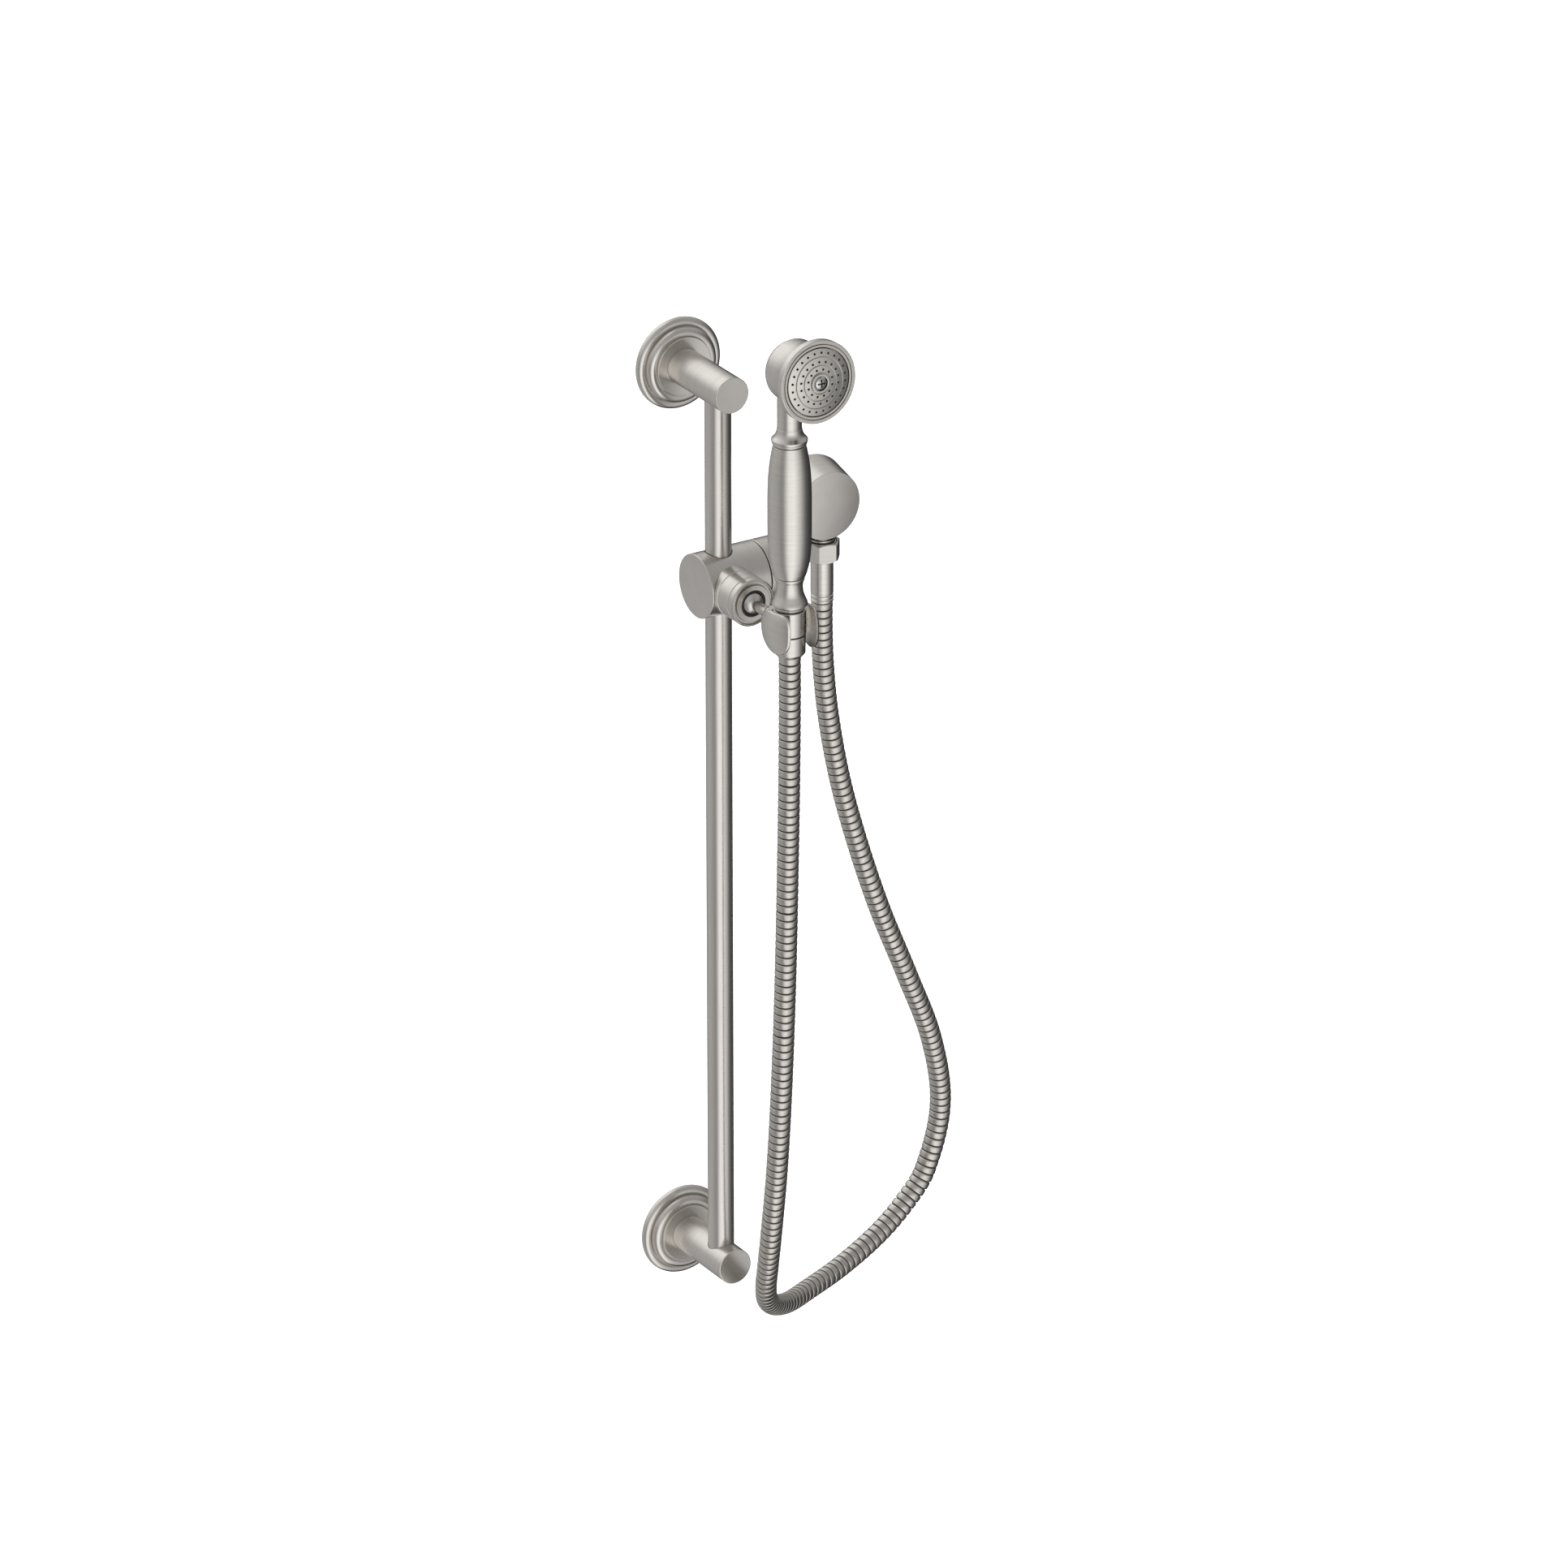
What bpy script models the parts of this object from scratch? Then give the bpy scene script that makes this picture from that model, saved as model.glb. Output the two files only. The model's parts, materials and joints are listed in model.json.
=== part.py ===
"""Handshower rail kit: rail, wall posts, slider with a ball-jointed cradle, handshower, hose and supply elbow.

Frame: +Z up, +X to the right along the wall, the wall is the plane y = 0 and the kit stands out towards -Y.
The origin is the centre of the upper wall plate's back face. Lengths are millimetres until MM turns them
into Blender's metres. Profiles of turned pieces are (radius, height) pairs along the piece's own axis.
"""

import math

import bmesh
import bpy
from mathutils import Vector, geometry

MM = 0.001
GAP = 0.3  # left between pieces that touch

# Rail and posts
RAIL_RADIUS = 9.525
RAIL_WALL = 1.5
RAIL_OUT = 58.0  # distance of the rail's axis from the wall
POST_SPACING = 682.0
POST_RADIUS = 13.4
POST_LENGTH = 77.8
FLANGE_RADIUS = 34.2
FLANGE_DEPTH = 13.5
PLATE_THICKNESS = 4.0
SPIGOT_RADIUS = 8.6
SPIGOT_END = 28.0
GRUB_OUT = 21.0
WALL_SCREW_OFFSET = 18.4
WALL_SCREW_RADIUS = 2.1
WALL_SCREW_DEPTH = 17.0  # how far a screw reaches into the wall

# Slider
SLIDER_Z = -148.0
BARREL_RADIUS = 23.6
BARREL_LEFT = -18.7
BARREL_RIGHT = 30.0
KNOB_RIGHT = 50.0
CROSS_BORE = 12.5  # the guide rings fill the gap between it and the rail
PAD_RADIUS = 6.0
SPINDLE_RADIUS = 4.0
SOCKET_RADIUS = 17.7
SOCKET_FRONT = 106.0
BALL_OUT = 101.5
BALL_RADIUS = 8.8
STUD_RADIUS = 3.9

# Handshower, on a vertical axis HANDSET_OUT from the wall
HANDSET_OUT = 154.25
TAIL_TOP = -134.0
SWIVEL_SEAM = -152.7
SWIVEL_BOTTOM = -169.0
TAIL_RADIUS = 11.6
GRIP_TOP = -9.5
GRIP_BOTTOM = -108.9
NECK_RADIUS = 8.7
FACE_OUT = 192.6
FACE_Z = 49.9
FACE_RADIUS = 30.1
FACE_TILT = math.radians(3.0)  # the face looks slightly up
CUP_DEPTH = 41.3

# Supply elbow and hose
ELBOW_X = 110.7
ELBOW_Z = -125.8
ELBOW_BACK_RADIUS = 30.2
ELBOW_FRONT_RADIUS = 25.7
ELBOW_LENGTH = 28.0
OUTLET_OUT = 18.1
OUTLET_FACE_Z = -153.4
NUT_ACROSS_FLATS = 24.0
NUT_TOP = -155.0
NUT_BOTTOM = -169.4
FERRULE_BOTTOM = -202.0
HOSE_RADIUS = 7.9

SEGMENTS = 24
FINE_SEGMENTS = 32

FACING_UP = (0.0, 0.0, 0.0)
FACING_FRONT = (math.pi / 2, 0.0, 0.0)  # local +Z points away from the wall
FACING_RIGHT = (0.0, math.pi / 2, 0.0)

# The hose's route, from under the ferrule to under the swivel sleeve
HOSE_ROUTE = [
    (110.7, -18.1, -202.3), (110.7, -18.1, -222), (111.6, -18.4, -252), (115, -19.7, -292),
    (122.9, -23.3, -344), (134.6, -29.1, -396), (149.9, -34.9, -449), (171, -38.4, -505),
    (193, -37.7, -563), (202.8, -34.8, -620), (191, -32.9, -671), (174, -32.9, -693),
    (148.6, -35.3, -712), (112, -42.6, -726), (75, -55.7, -730), (50, -70.2, -727),
    (29, -85.7, -717), (14, -100, -703), (4, -114, -684), (-1.6, -126, -660),
    (-5, -136.2, -629), (-5.8, -145.6, -573), (-5.8, -152, -505), (-4.6, -155.6, -415),
    (-2.5, -156, -314), (-0.8, -155, -250), (0, -154.25, -205), (0, -154.25, -169.3),
]
HOSE_POINT_SPACING = 26.0
# Each length of hose and the height on the handshower's side where it ends. Each follows one joint.
HOSE_LENGTHS = [
    ("hose_wall_run", -672.0), ("hose_turn_run", -560.0), ("hose_swing_run", -462.0),
    ("hose_tilt_run", -365.0), ("hose_roll_run", -267.5), ("hose_lift_run", -169.3),
]

NICKEL = ((0.60, 0.57, 0.54, 1.0), 0.30, 1.0)
DARK_NICKEL = ((0.42, 0.40, 0.38, 1.0), 0.38, 1.0)
BRASS = ((0.70, 0.52, 0.26, 1.0), 0.35, 1.0)
STEEL = ((0.62, 0.62, 0.62, 1.0), 0.30, 1.0)
RUBBER = ((0.03, 0.03, 0.03, 1.0), 0.70, 0.0)
PLASTIC = ((0.80, 0.80, 0.78, 1.0), 0.45, 0.0)


# ---------------------------------------------------------------- helpers


def clear_scene():
    for obj in list(bpy.data.objects):
        bpy.data.objects.remove(obj, do_unlink=True)


def material(name, look):
    mat = bpy.data.materials.new(name)
    mat.use_nodes = True
    shader = mat.node_tree.nodes["Principled BSDF"]
    colour, roughness, metallic = look
    shader.inputs["Base Color"].default_value = colour
    shader.inputs["Roughness"].default_value = roughness
    shader.inputs["Metallic"].default_value = metallic
    mat.diffuse_color = colour
    return mat


def pivot(name, at, parent=None):
    """An empty on a joint's axis, which the joint's pieces hang from."""
    empty = bpy.data.objects.new(name, None)
    empty["world"] = at
    empty.parent = parent
    base = Vector(parent["world"]) if parent else Vector()
    empty.location = (Vector(at) - base) * MM
    empty.empty_display_size = 0.02
    bpy.context.scene.collection.objects.link(empty)
    return empty


def add(name, mesh, look, at=(0, 0, 0), facing=FACING_UP, parent=None):
    """Put a mesh in the scene as one named piece, at a place given in the kit's frame."""
    obj = bpy.data.objects.new(name, mesh)
    bpy.context.scene.collection.objects.link(obj)
    obj.parent = parent
    base = Vector(parent["world"]) if parent else Vector()
    obj.location = (Vector(at) - base) * MM
    obj.rotation_euler = facing
    if look:
        mesh.materials.append(material(name, look))
    return obj


def mesh_from(name, bm):
    bmesh.ops.recalc_face_normals(bm, faces=bm.faces)
    mesh = bpy.data.meshes.new(name)
    bm.to_mesh(mesh)
    bm.free()
    mesh.shade_smooth()
    mesh.set_sharp_from_angle(angle=math.radians(35))
    return mesh


def turned_mesh(name, profile, segments=SEGMENTS, start=0.0):
    """Spin a profile about +Z. One whose ends leave the axis is closed into a ring."""
    bm = bmesh.new()
    rings = []
    for radius, height in profile:
        if radius == 0:
            rings.append([bm.verts.new((0, 0, height * MM))])
            continue
        turn = [start + 2 * math.pi * k / segments for k in range(segments)]
        rings.append([
            bm.verts.new((radius * math.cos(a) * MM, radius * math.sin(a) * MM, height * MM))
            for a in turn
        ])
    pairs = list(zip(rings, rings[1:]))
    if profile[0][0] > 0:
        pairs.append((rings[-1], rings[0]))
    for one, two in pairs:
        for k in range(segments):
            corners = [
                one[k % len(one)], one[(k + 1) % segments % len(one)],
                two[(k + 1) % segments % len(two)], two[k % len(two)],
            ]
            distinct = list(dict.fromkeys(corners))
            if len(distinct) > 2:
                bm.faces.new(distinct)
    return mesh_from(name, bm)


def turned(name, profile, look, at=(0, 0, 0), facing=FACING_UP, parent=None, segments=SEGMENTS, start=0.0):
    return add(name, turned_mesh(name, profile, segments, start), look, at, facing, parent)


def rod_profile(radius, low, high):
    return [(0, low), (radius, low), (radius, high), (0, high)]


def tube_profile(inner, outer, low, high):
    return [(inner, low), (outer, low), (outer, high), (inner, high)]


def arc(centre_radius, centre_height, radius, first, last, steps):
    """Points of a round stretch of a profile, with angles in degrees from the outward direction."""
    angles = [math.radians(first + (last - first) * k / steps) for k in range(steps + 1)]
    return [
        (centre_radius + radius * math.cos(a), centre_height + radius * math.sin(a)) for a in angles
    ]


def boolean(obj, operation, tool):
    step = obj.modifiers.new(operation.title(), "BOOLEAN")
    step.operation = operation
    step.solver = "EXACT"
    step.object = tool
    tool.hide_render = True
    tool.display_type = "WIRE"
    return obj


def cut(obj, name, profile, at, facing=FACING_UP, parent=None, segments=SEGMENTS):
    half_step = math.pi / segments  # keeps the cutter's corners off the body's own edges
    return boolean(obj, "DIFFERENCE", turned(name, profile, None, at, facing, parent, segments, half_step))


def join(obj, name, profile, at, facing=FACING_UP, parent=None, segments=SEGMENTS):
    return boolean(obj, "UNION", turned(name, profile, None, at, facing, parent, segments))


def smooth_path(points, spacing):
    """Points at about the given spacing on a smooth curve through the route's points."""
    route = [Vector(p) for p in points]
    ends = [2 * route[0] - route[1]] + route + [2 * route[-1] - route[-2]]
    path = []
    for before, here, there, after in zip(ends, ends[1:], ends[2:], ends[3:]):
        chord = (there - here).length
        lead = (there - before).normalized() * chord / 3
        trail = (after - here).normalized() * chord / 3
        steps = max(2, round(chord / spacing) + 1)
        path += geometry.interpolate_bezier(here, here + lead, there - trail, there, steps)[:-1]
    return path + [route[-1]]


def tube_along(name, points, radius, look, parent=None, sides=2):
    """A round tube with closed ends along a list of points."""
    curve = bpy.data.curves.new(name, "CURVE")
    curve.dimensions = "3D"
    curve.bevel_depth = radius * MM
    curve.bevel_resolution = sides
    curve.use_fill_caps = True
    spline = curve.splines.new("POLY")
    spline.points.add(len(points) - 1)
    base = Vector(parent["world"]) if parent else Vector()
    for slot, point in zip(spline.points, points):
        slot.co = (*((Vector(point) - base) * MM), 1.0)
    curve.materials.append(material(name, look))
    obj = bpy.data.objects.new(name, curve)
    bpy.context.scene.collection.objects.link(obj)
    obj.parent = parent
    return obj


# ---------------------------------------------------------------- rail and posts


def rail():
    inner = RAIL_RADIUS - RAIL_WALL
    profile = tube_profile(inner, RAIL_RADIUS, -POST_SPACING - 4.0, 4.0)
    turned("rail_tube", profile, NICKEL, (0, -RAIL_OUT, 0), segments=FINE_SEGMENTS)


def flange_profile():
    """Stepped cover: a half-round lip, a second roll and a flat disc, hollow behind."""
    lip = arc(FLANGE_RADIUS - 3.6, 3.6, 3.6, -60, 70, 5)
    roll = arc(24.2, 7.6, 4.0, -15, 75, 4)
    hole = POST_RADIUS + GAP
    front = [(21.9, 11.9), (21.9, FLANGE_DEPTH - 0.4), (21.5, FLANGE_DEPTH), (hole, FLANGE_DEPTH)]
    inside = [(hole, FLANGE_DEPTH - 2.0), (20.0, FLANGE_DEPTH - 2.0), (26.0, 7.0), (29.5, 0.2)]
    return lip + roll + front + inside


def wall_plate(where, z):
    plate = turned(
        f"{where}_wall_plate",
        [(0, 0), (25.0, 0), (25.0, PLATE_THICKNESS), (SPIGOT_RADIUS, PLATE_THICKNESS),
         (SPIGOT_RADIUS, SPIGOT_END), (0, SPIGOT_END)],
        BRASS, (0, 0, z), FACING_FRONT,
    )
    for side, x in (("left", -WALL_SCREW_OFFSET), ("right", WALL_SCREW_OFFSET)):
        hole = WALL_SCREW_RADIUS + 0.5
        cut(
            plate, f"{where}_{side}_screw_hole", rod_profile(hole, -1, PLATE_THICKNESS + 2), (x, 0, z),
            FACING_FRONT, segments=12,
        )
        head = PLATE_THICKNESS + GAP
        turned(
            f"{where}_wall_screw_{side}",
            [(0, -WALL_SCREW_DEPTH), (0.6, -WALL_SCREW_DEPTH), (WALL_SCREW_RADIUS, 3.0 - WALL_SCREW_DEPTH),
             (WALL_SCREW_RADIUS, head), (3.9, head), (3.9, head + 1.4), (2.6, head + 2.6), (0, head + 2.6)],
            STEEL, (x, 0, z), FACING_FRONT, segments=12,
        )


def post(where, z, rail_side):
    """A post closed at its front, bored at the back for the spigot and across for the rail's end."""
    back = PLATE_THICKNESS + GAP
    bore = SPIGOT_RADIUS + 0.25
    profile = [
        (0, POST_LENGTH), (POST_RADIUS - 0.5, POST_LENGTH), (POST_RADIUS, POST_LENGTH - 0.5),
        (POST_RADIUS, back), (bore, back), (bore, SPIGOT_END + 2), (0, SPIGOT_END + 2),
    ]
    body = turned(f"{where}_post", profile, NICKEL, (0, 0, z), FACING_FRONT, segments=FINE_SEGMENTS)
    inner_end = 5.0
    low, high = (-20.0, inner_end) if rail_side < 0 else (-inner_end, 20.0)
    cut(body, f"{where}_rail_socket", rod_profile(RAIL_RADIUS + 0.2, low, high), (0, -RAIL_OUT, z))
    cut(body, f"{where}_grub_hole", rod_profile(2.3, -16, -7), (0, -GRUB_OUT, z), segments=12)
    turned(
        f"{where}_grub_screw", rod_profile(2.0, -POST_RADIUS - 0.2, -SPIGOT_RADIUS - 0.1), STEEL,
        (0, -GRUB_OUT, z), segments=12,
    )


def wall_end(where, z, rail_side):
    wall_plate(where, z)
    post(where, z, rail_side)
    turned(f"{where}_flange", flange_profile(), NICKEL, (0, 0, z), FACING_FRONT, segments=FINE_SEGMENTS)


# ---------------------------------------------------------------- supply elbow


def elbow():
    at = (ELBOW_X, 0, ELBOW_Z)
    front = ELBOW_LENGTH
    profile = [(0, 0.2), (ELBOW_BACK_RADIUS, 0.2), (ELBOW_FRONT_RADIUS, front - 0.3),
               (ELBOW_FRONT_RADIUS - 0.3, front), (18.0, front + 0.9), (9.0, front + 1.5), (0, front + 1.7)]
    body = turned("elbow_body", profile, NICKEL, at, FACING_FRONT, segments=FINE_SEGMENTS)
    outlet = (ELBOW_X, -OUTLET_OUT, 0)
    cut(body, "elbow_inlet_bore", rod_profile(9.6, -1, 15), at, FACING_FRONT)
    stepped_bore = [(0, -160), (9.3, -160), (9.3, -141), (7.0, -141), (7.0, -122), (0, -122)]
    cut(body, "elbow_outlet_bore", stepped_bore, outlet)
    cut(body, "elbow_outlet_spot_face", tube_profile(9.0, 16.0, -164, OUTLET_FACE_Z), outlet)
    turned(
        "outlet_nipple",
        [(7.7, -164.0), (10.2, -164.0), (10.2, -155.0), (9.0, -155.0), (9.0, -141.3), (7.7, -141.3)],
        NICKEL, outlet,
    )
    cartridge = turned(
        "valve_cartridge",
        [(1.6, -163.5), (7.4, -163.5), (7.4, -142.0), (4.0, -142.0), (4.0, -144.0), (5.4, -145.4),
         (5.4, -161.0), (1.6, -161.0)],
        PLASTIC, outlet,
    )
    for k in range(3):
        a = 2 * math.pi * k / 3
        port = (ELBOW_X + 3.6 * math.cos(a), -OUTLET_OUT + 3.6 * math.sin(a), 0)
        cut(cartridge, f"cartridge_port_{k + 1}", rod_profile(1.4, -165.0, -160.0), port, segments=12)
    return outlet


def check_valve(outlet):
    """A poppet that its spring holds up against the cartridge's seat."""
    valve = pivot("valve_axis", (ELBOW_X, -OUTLET_OUT, -146.0))
    turned(
        "valve_poppet",
        [(0, -163.2), (1.2, -163.2), (1.2, -148.6), (4.6, -148.6), (4.6, -146.6), (3.6, -145.6), (0, -145.6)],
        PLASTIC, outlet, parent=valve, segments=16,
    )
    turns, steps = 4, 10
    low, high = -160.2, -149.4
    coil = [
        (ELBOW_X + 3.6 * math.cos(2 * math.pi * k / steps), -OUTLET_OUT + 3.6 * math.sin(2 * math.pi * k / steps),
         high + (low - high) * k / (turns * steps))
        for k in range(turns * steps + 1)
    ]
    tube_along("valve_spring", coil, 0.4, STEEL, sides=0)


def hose_wall_end(outlet):
    corner = NUT_ACROSS_FLATS / 2 / math.cos(math.pi / 6)
    nut = turned(
        "hose_hex_nut",
        [(0, NUT_BOTTOM), (corner - 1.0, NUT_BOTTOM), (corner, NUT_BOTTOM + 1.2), (corner, NUT_TOP - 1.2),
         (corner - 1.0, NUT_TOP), (0, NUT_TOP)],
        NICKEL, outlet, segments=6, start=math.radians(20 - 90),
    )
    cut(nut, "nut_thread_bore", rod_profile(10.7, NUT_BOTTOM + 1.4, NUT_TOP + 1), outlet)
    cut(nut, "nut_ferrule_hole", rod_profile(8.7, NUT_BOTTOM - 1, NUT_BOTTOM + 2), outlet)
    turned("hose_washer", tube_profile(5.5, 10.2, -165.9, -164.3), RUBBER, outlet)
    flange = [(6.0, -166.2), (10.2, -166.2), (10.2, -167.7), (8.3, -167.7)]
    crimps = [(8.3, -195.8), (7.9, -196.2), (7.9, -196.9), (8.3, -197.3), (8.3, -198.6), (7.9, -199.0),
              (7.9, -199.7), (8.3, -200.1)]
    turned("hose_ferrule", flange + crimps + [(8.3, FERRULE_BOTTOM), (6.0, FERRULE_BOTTOM)], NICKEL, outlet)


# ---------------------------------------------------------------- slider


def slider(axis):
    centre = (0, -RAIL_OUT, SLIDER_Z)
    profile = [(0, BARREL_LEFT), (BARREL_RADIUS - 0.4, BARREL_LEFT), (BARREL_RADIUS, BARREL_LEFT + 0.4),
               (BARREL_RADIUS, BARREL_RIGHT - 0.4), (BARREL_RADIUS - 0.4, BARREL_RIGHT), (0, BARREL_RIGHT)]
    barrel = turned("slider_barrel", profile, NICKEL, centre, FACING_RIGHT, axis, FINE_SEGMENTS)
    cut(barrel, "barrel_cross_bore", rod_profile(CROSS_BORE, -30, 30), centre, FACING_UP, axis)
    pad_bore, spindle_bore = PAD_RADIUS + 0.4, SPINDLE_RADIUS + 0.3
    pad_well = [(0, 3), (pad_bore, 3), (pad_bore, 18), (spindle_bore, 18), (spindle_bore, 33), (0, 33)]
    cut(barrel, "barrel_pad_bore", pad_well, centre, FACING_RIGHT, axis)
    front = (0, 0, SLIDER_Z)
    cut(barrel, "barrel_socket_bore", rod_profile(9.3, 71.5, 90), front, FACING_FRONT, axis)
    housing = turned(
        "socket_housing",
        [(0, 73.0), (9.0, 73.0), (9.0, 76.0), (SOCKET_RADIUS, 76.0), (SOCKET_RADIUS, 98.6), (17.2, 99.2),
         (12.2, 99.2), (12.2, 88.5), (0, 88.5)],
        NICKEL, front, FACING_FRONT, axis, FINE_SEGMENTS,
    )
    cut(housing, "housing_saddle",
        [(0, -40), (BARREL_RADIUS + GAP, -40), (BARREL_RADIUS + GAP, 40), (0, 40)], centre, FACING_RIGHT, axis, 64)
    spigot = rod_profile(9.0, 73.0, 84.0)
    join(housing, "housing_spigot", spigot, front, FACING_FRONT, axis, FINE_SEGMENTS)
    turned(
        "socket_ring",
        [(10.5, 99.6), (SOCKET_RADIUS, 99.6), (SOCKET_RADIUS, SOCKET_FRONT - 1.4),
         (SOCKET_RADIUS - 1.8, SOCKET_FRONT - 0.4), (15.6, SOCKET_FRONT - 1.6), (14.0, SOCKET_FRONT - 1.6),
         (13.8, SOCKET_FRONT), (10.5, SOCKET_FRONT)],
        NICKEL, front, FACING_FRONT, axis, FINE_SEGMENTS,
    )
    hollow = arc(0, BALL_OUT, BALL_RADIUS + 0.35, 24, -90, 9)
    hollow[-1] = (0, BALL_OUT - BALL_RADIUS - 0.35)
    turned(
        "ball_seat", hollow + [(0, 89.0), (9.9, 89.0), (9.9, hollow[0][1])],
        RUBBER, front, FACING_FRONT, axis,
    )


def guide_rings(carrier):
    for where, low in (("upper", 7.5), ("lower", -18.5)):
        turned(
            f"guide_ring_{where}", tube_profile(RAIL_RADIUS + 0.3, CROSS_BORE - 0.4, low, low + 11.0), PLASTIC,
            (0, -RAIL_OUT, SLIDER_Z), parent=carrier,
        )


def lock(axis):
    centre = (0, -RAIL_OUT, SLIDER_Z)
    knob_axis = pivot("lock_knob_axis", (BARREL_RIGHT, -RAIL_OUT, SLIDER_Z), axis)
    left = BARREL_RIGHT + 0.7
    turned(
        "lock_knob",
        [(SPINDLE_RADIUS + 0.2, left + 1.5), (18.0, left + 1.5), (18.0, left), (BARREL_RADIUS - 0.4, left),
         (BARREL_RADIUS, left + 0.4), (BARREL_RADIUS, KNOB_RIGHT - 0.6), (BARREL_RADIUS - 0.6, KNOB_RIGHT),
         (0, KNOB_RIGHT), (0, KNOB_RIGHT - 4), (SPINDLE_RADIUS + 0.2, KNOB_RIGHT - 4)],
        NICKEL, centre, FACING_RIGHT, knob_axis, FINE_SEGMENTS,
    )
    spindle = rod_profile(SPINDLE_RADIUS, 15.2, KNOB_RIGHT - 4.3)
    turned("lock_spindle", spindle, BRASS, centre, FACING_RIGHT, knob_axis, 16)
    pad_axis = pivot("clamp_pad_axis", (12, -RAIL_OUT, SLIDER_Z), axis)
    pad = rod_profile(PAD_RADIUS, RAIL_RADIUS + 0.3, 13.4)
    turned("clamp_pad", pad, PLASTIC, centre, FACING_RIGHT, pad_axis, 16)


def ball_joint(axis):
    """The ball turns left and right, the stud tips up and down, and the cradle rolls on the stud."""
    at = (0, -BALL_OUT, SLIDER_Z)
    front = (0, 0, SLIDER_Z)
    swing = pivot("ball_swing_axis", at, axis)
    sphere = arc(0, BALL_OUT, BALL_RADIUS, -90, 90, 12)
    sphere[0] = (0, BALL_OUT - BALL_RADIUS)
    sphere[-1] = (0, BALL_OUT + BALL_RADIUS)
    turned("ball", sphere, NICKEL, front, FACING_FRONT, swing)
    tilt = pivot("ball_tilt_axis", at, swing)
    stud_start = BALL_OUT + BALL_RADIUS + GAP
    turned("ball_stud", rod_profile(STUD_RADIUS, stud_start, 135.0), NICKEL, front, FACING_FRONT, tilt, 16)
    return pivot("cradle_roll_axis", at, tilt)


# ---------------------------------------------------------------- cradle

EAR_HALF_WIDTH = 18.3  # the ears' outer faces lie on an ellipse about the handshower's axis
EAR_HALF_DEPTH = 28.0
EAR_THICKNESS = 3.2
EAR_CENTRE_Z = -147.5
COLLAR_MOUTH = 190.0  # degrees of the collar left open for the hose
# An ear's outline seen from the side: (towards the wall, up) from its centre
EAR_OUTLINE = [(-14.5, 14.6), (-5, 15.2), (6, 13.6), (12.5, 8.5), (15.3, 1), (12.5, -8), (5, -14),
               (-4, -16.6), (-12, -14.2), (-17.5, -8), (-19, 0), (-18.2, 9)]


def closed_curve(points, steps):
    """A smooth closed outline through the given points."""
    loop = [Vector((*p, 0)) for p in points]
    count = len(loop)
    path = []
    for k in range(count):
        before, here, there, after = (loop[(k + j) % count] for j in (-1, 0, 1, 2))
        path += geometry.interpolate_bezier(
            here, here + (there - before) / 6, there - (after - here) / 6, there, steps + 1
        )[:-1]
    return path


def ear_mesh(name, side):
    """A leaf-shaped plate bent round the handshower's tail; side is -1 for the left ear."""
    bm = bmesh.new()
    outline = closed_curve(EAR_OUTLINE, 2)
    shells = []
    for inset, rim in ((0.0, 0.0), (EAR_THICKNESS, 0.0)):
        rings = []
        for scale in (1.0, 0.72, 0.4):
            ring = []
            for p in outline:
                y, z = p.x * scale, p.y * scale
                out = EAR_HALF_WIDTH * math.sqrt(1 - (y / EAR_HALF_DEPTH) ** 2) - z * z / 130 - inset
                ring.append(bm.verts.new((side * out * MM, y * MM, z * MM)))
            rings.append(ring)
        shells.append(rings)
    count = len(outline)

    def band(one, two):
        for k in range(count):
            j = (k + 1) % count
            bm.faces.new((one[k], one[j], two[j], two[k]))

    for rings in shells:
        for one, two in zip(rings, rings[1:]):
            band(one, two)
        bm.faces.new(rings[-1])
    band(shells[0][0], shells[1][0])
    bmesh.ops.triangulate(bm, faces=bm.faces)
    return mesh_from(name, bm)


def collar_mesh(name):
    """The C-shaped collar round the tail nut, its mouth centred on the front."""
    bm = bmesh.new()
    profile = tube_profile(TAIL_RADIUS + 1.0, 16.4, -156.0, -136.0)
    first = -90 + COLLAR_MOUTH / 2
    sections = []
    for k in range(FINE_SEGMENTS + 1):
        a = math.radians(first + (360 - COLLAR_MOUTH) * k / FINE_SEGMENTS)
        corners = [Vector((r * math.cos(a), r * math.sin(a), h)) * MM for r, h in profile]
        sections.append([bm.verts.new(corner) for corner in corners])
    for one, two in zip(sections, sections[1:]):
        for k in range(len(profile)):
            j = (k + 1) % len(profile)
            bm.faces.new((one[k], two[k], two[j], one[j]))
    bm.faces.new(sections[0])
    bm.faces.new(sections[-1])
    return mesh_from(name, bm)


def cradle(roll):
    """Hub on the stud, C-shaped collar open to the front, and two ears, all one casting."""
    axis = (0, -HANDSET_OUT, 0)
    body = add("cradle", collar_mesh("cradle"), NICKEL, axis, FACING_UP, roll)
    hub = [(0, 128.0), (7.0, 128.0), (8.0, 129.5), (8.0, 140.6), (0, 140.6)]
    join(body, "cradle_hub", hub, (0, 0, SLIDER_Z), FACING_FRONT, roll)
    for side, word in ((-1, "left"), (1, "right")):
        ear = add(f"cradle_ear_{word}", ear_mesh(f"cradle_ear_{word}", side), None,
                  (0, -HANDSET_OUT, EAR_CENTRE_Z), FACING_UP, roll)
        boolean(body, "UNION", ear)
    stud_bore = rod_profile(STUD_RADIUS + 0.25, 120, 135.4)
    cut(body, "cradle_stud_bore", stud_bore, (0, 0, SLIDER_Z), FACING_FRONT, roll)


# ---------------------------------------------------------------- handshower


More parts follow.
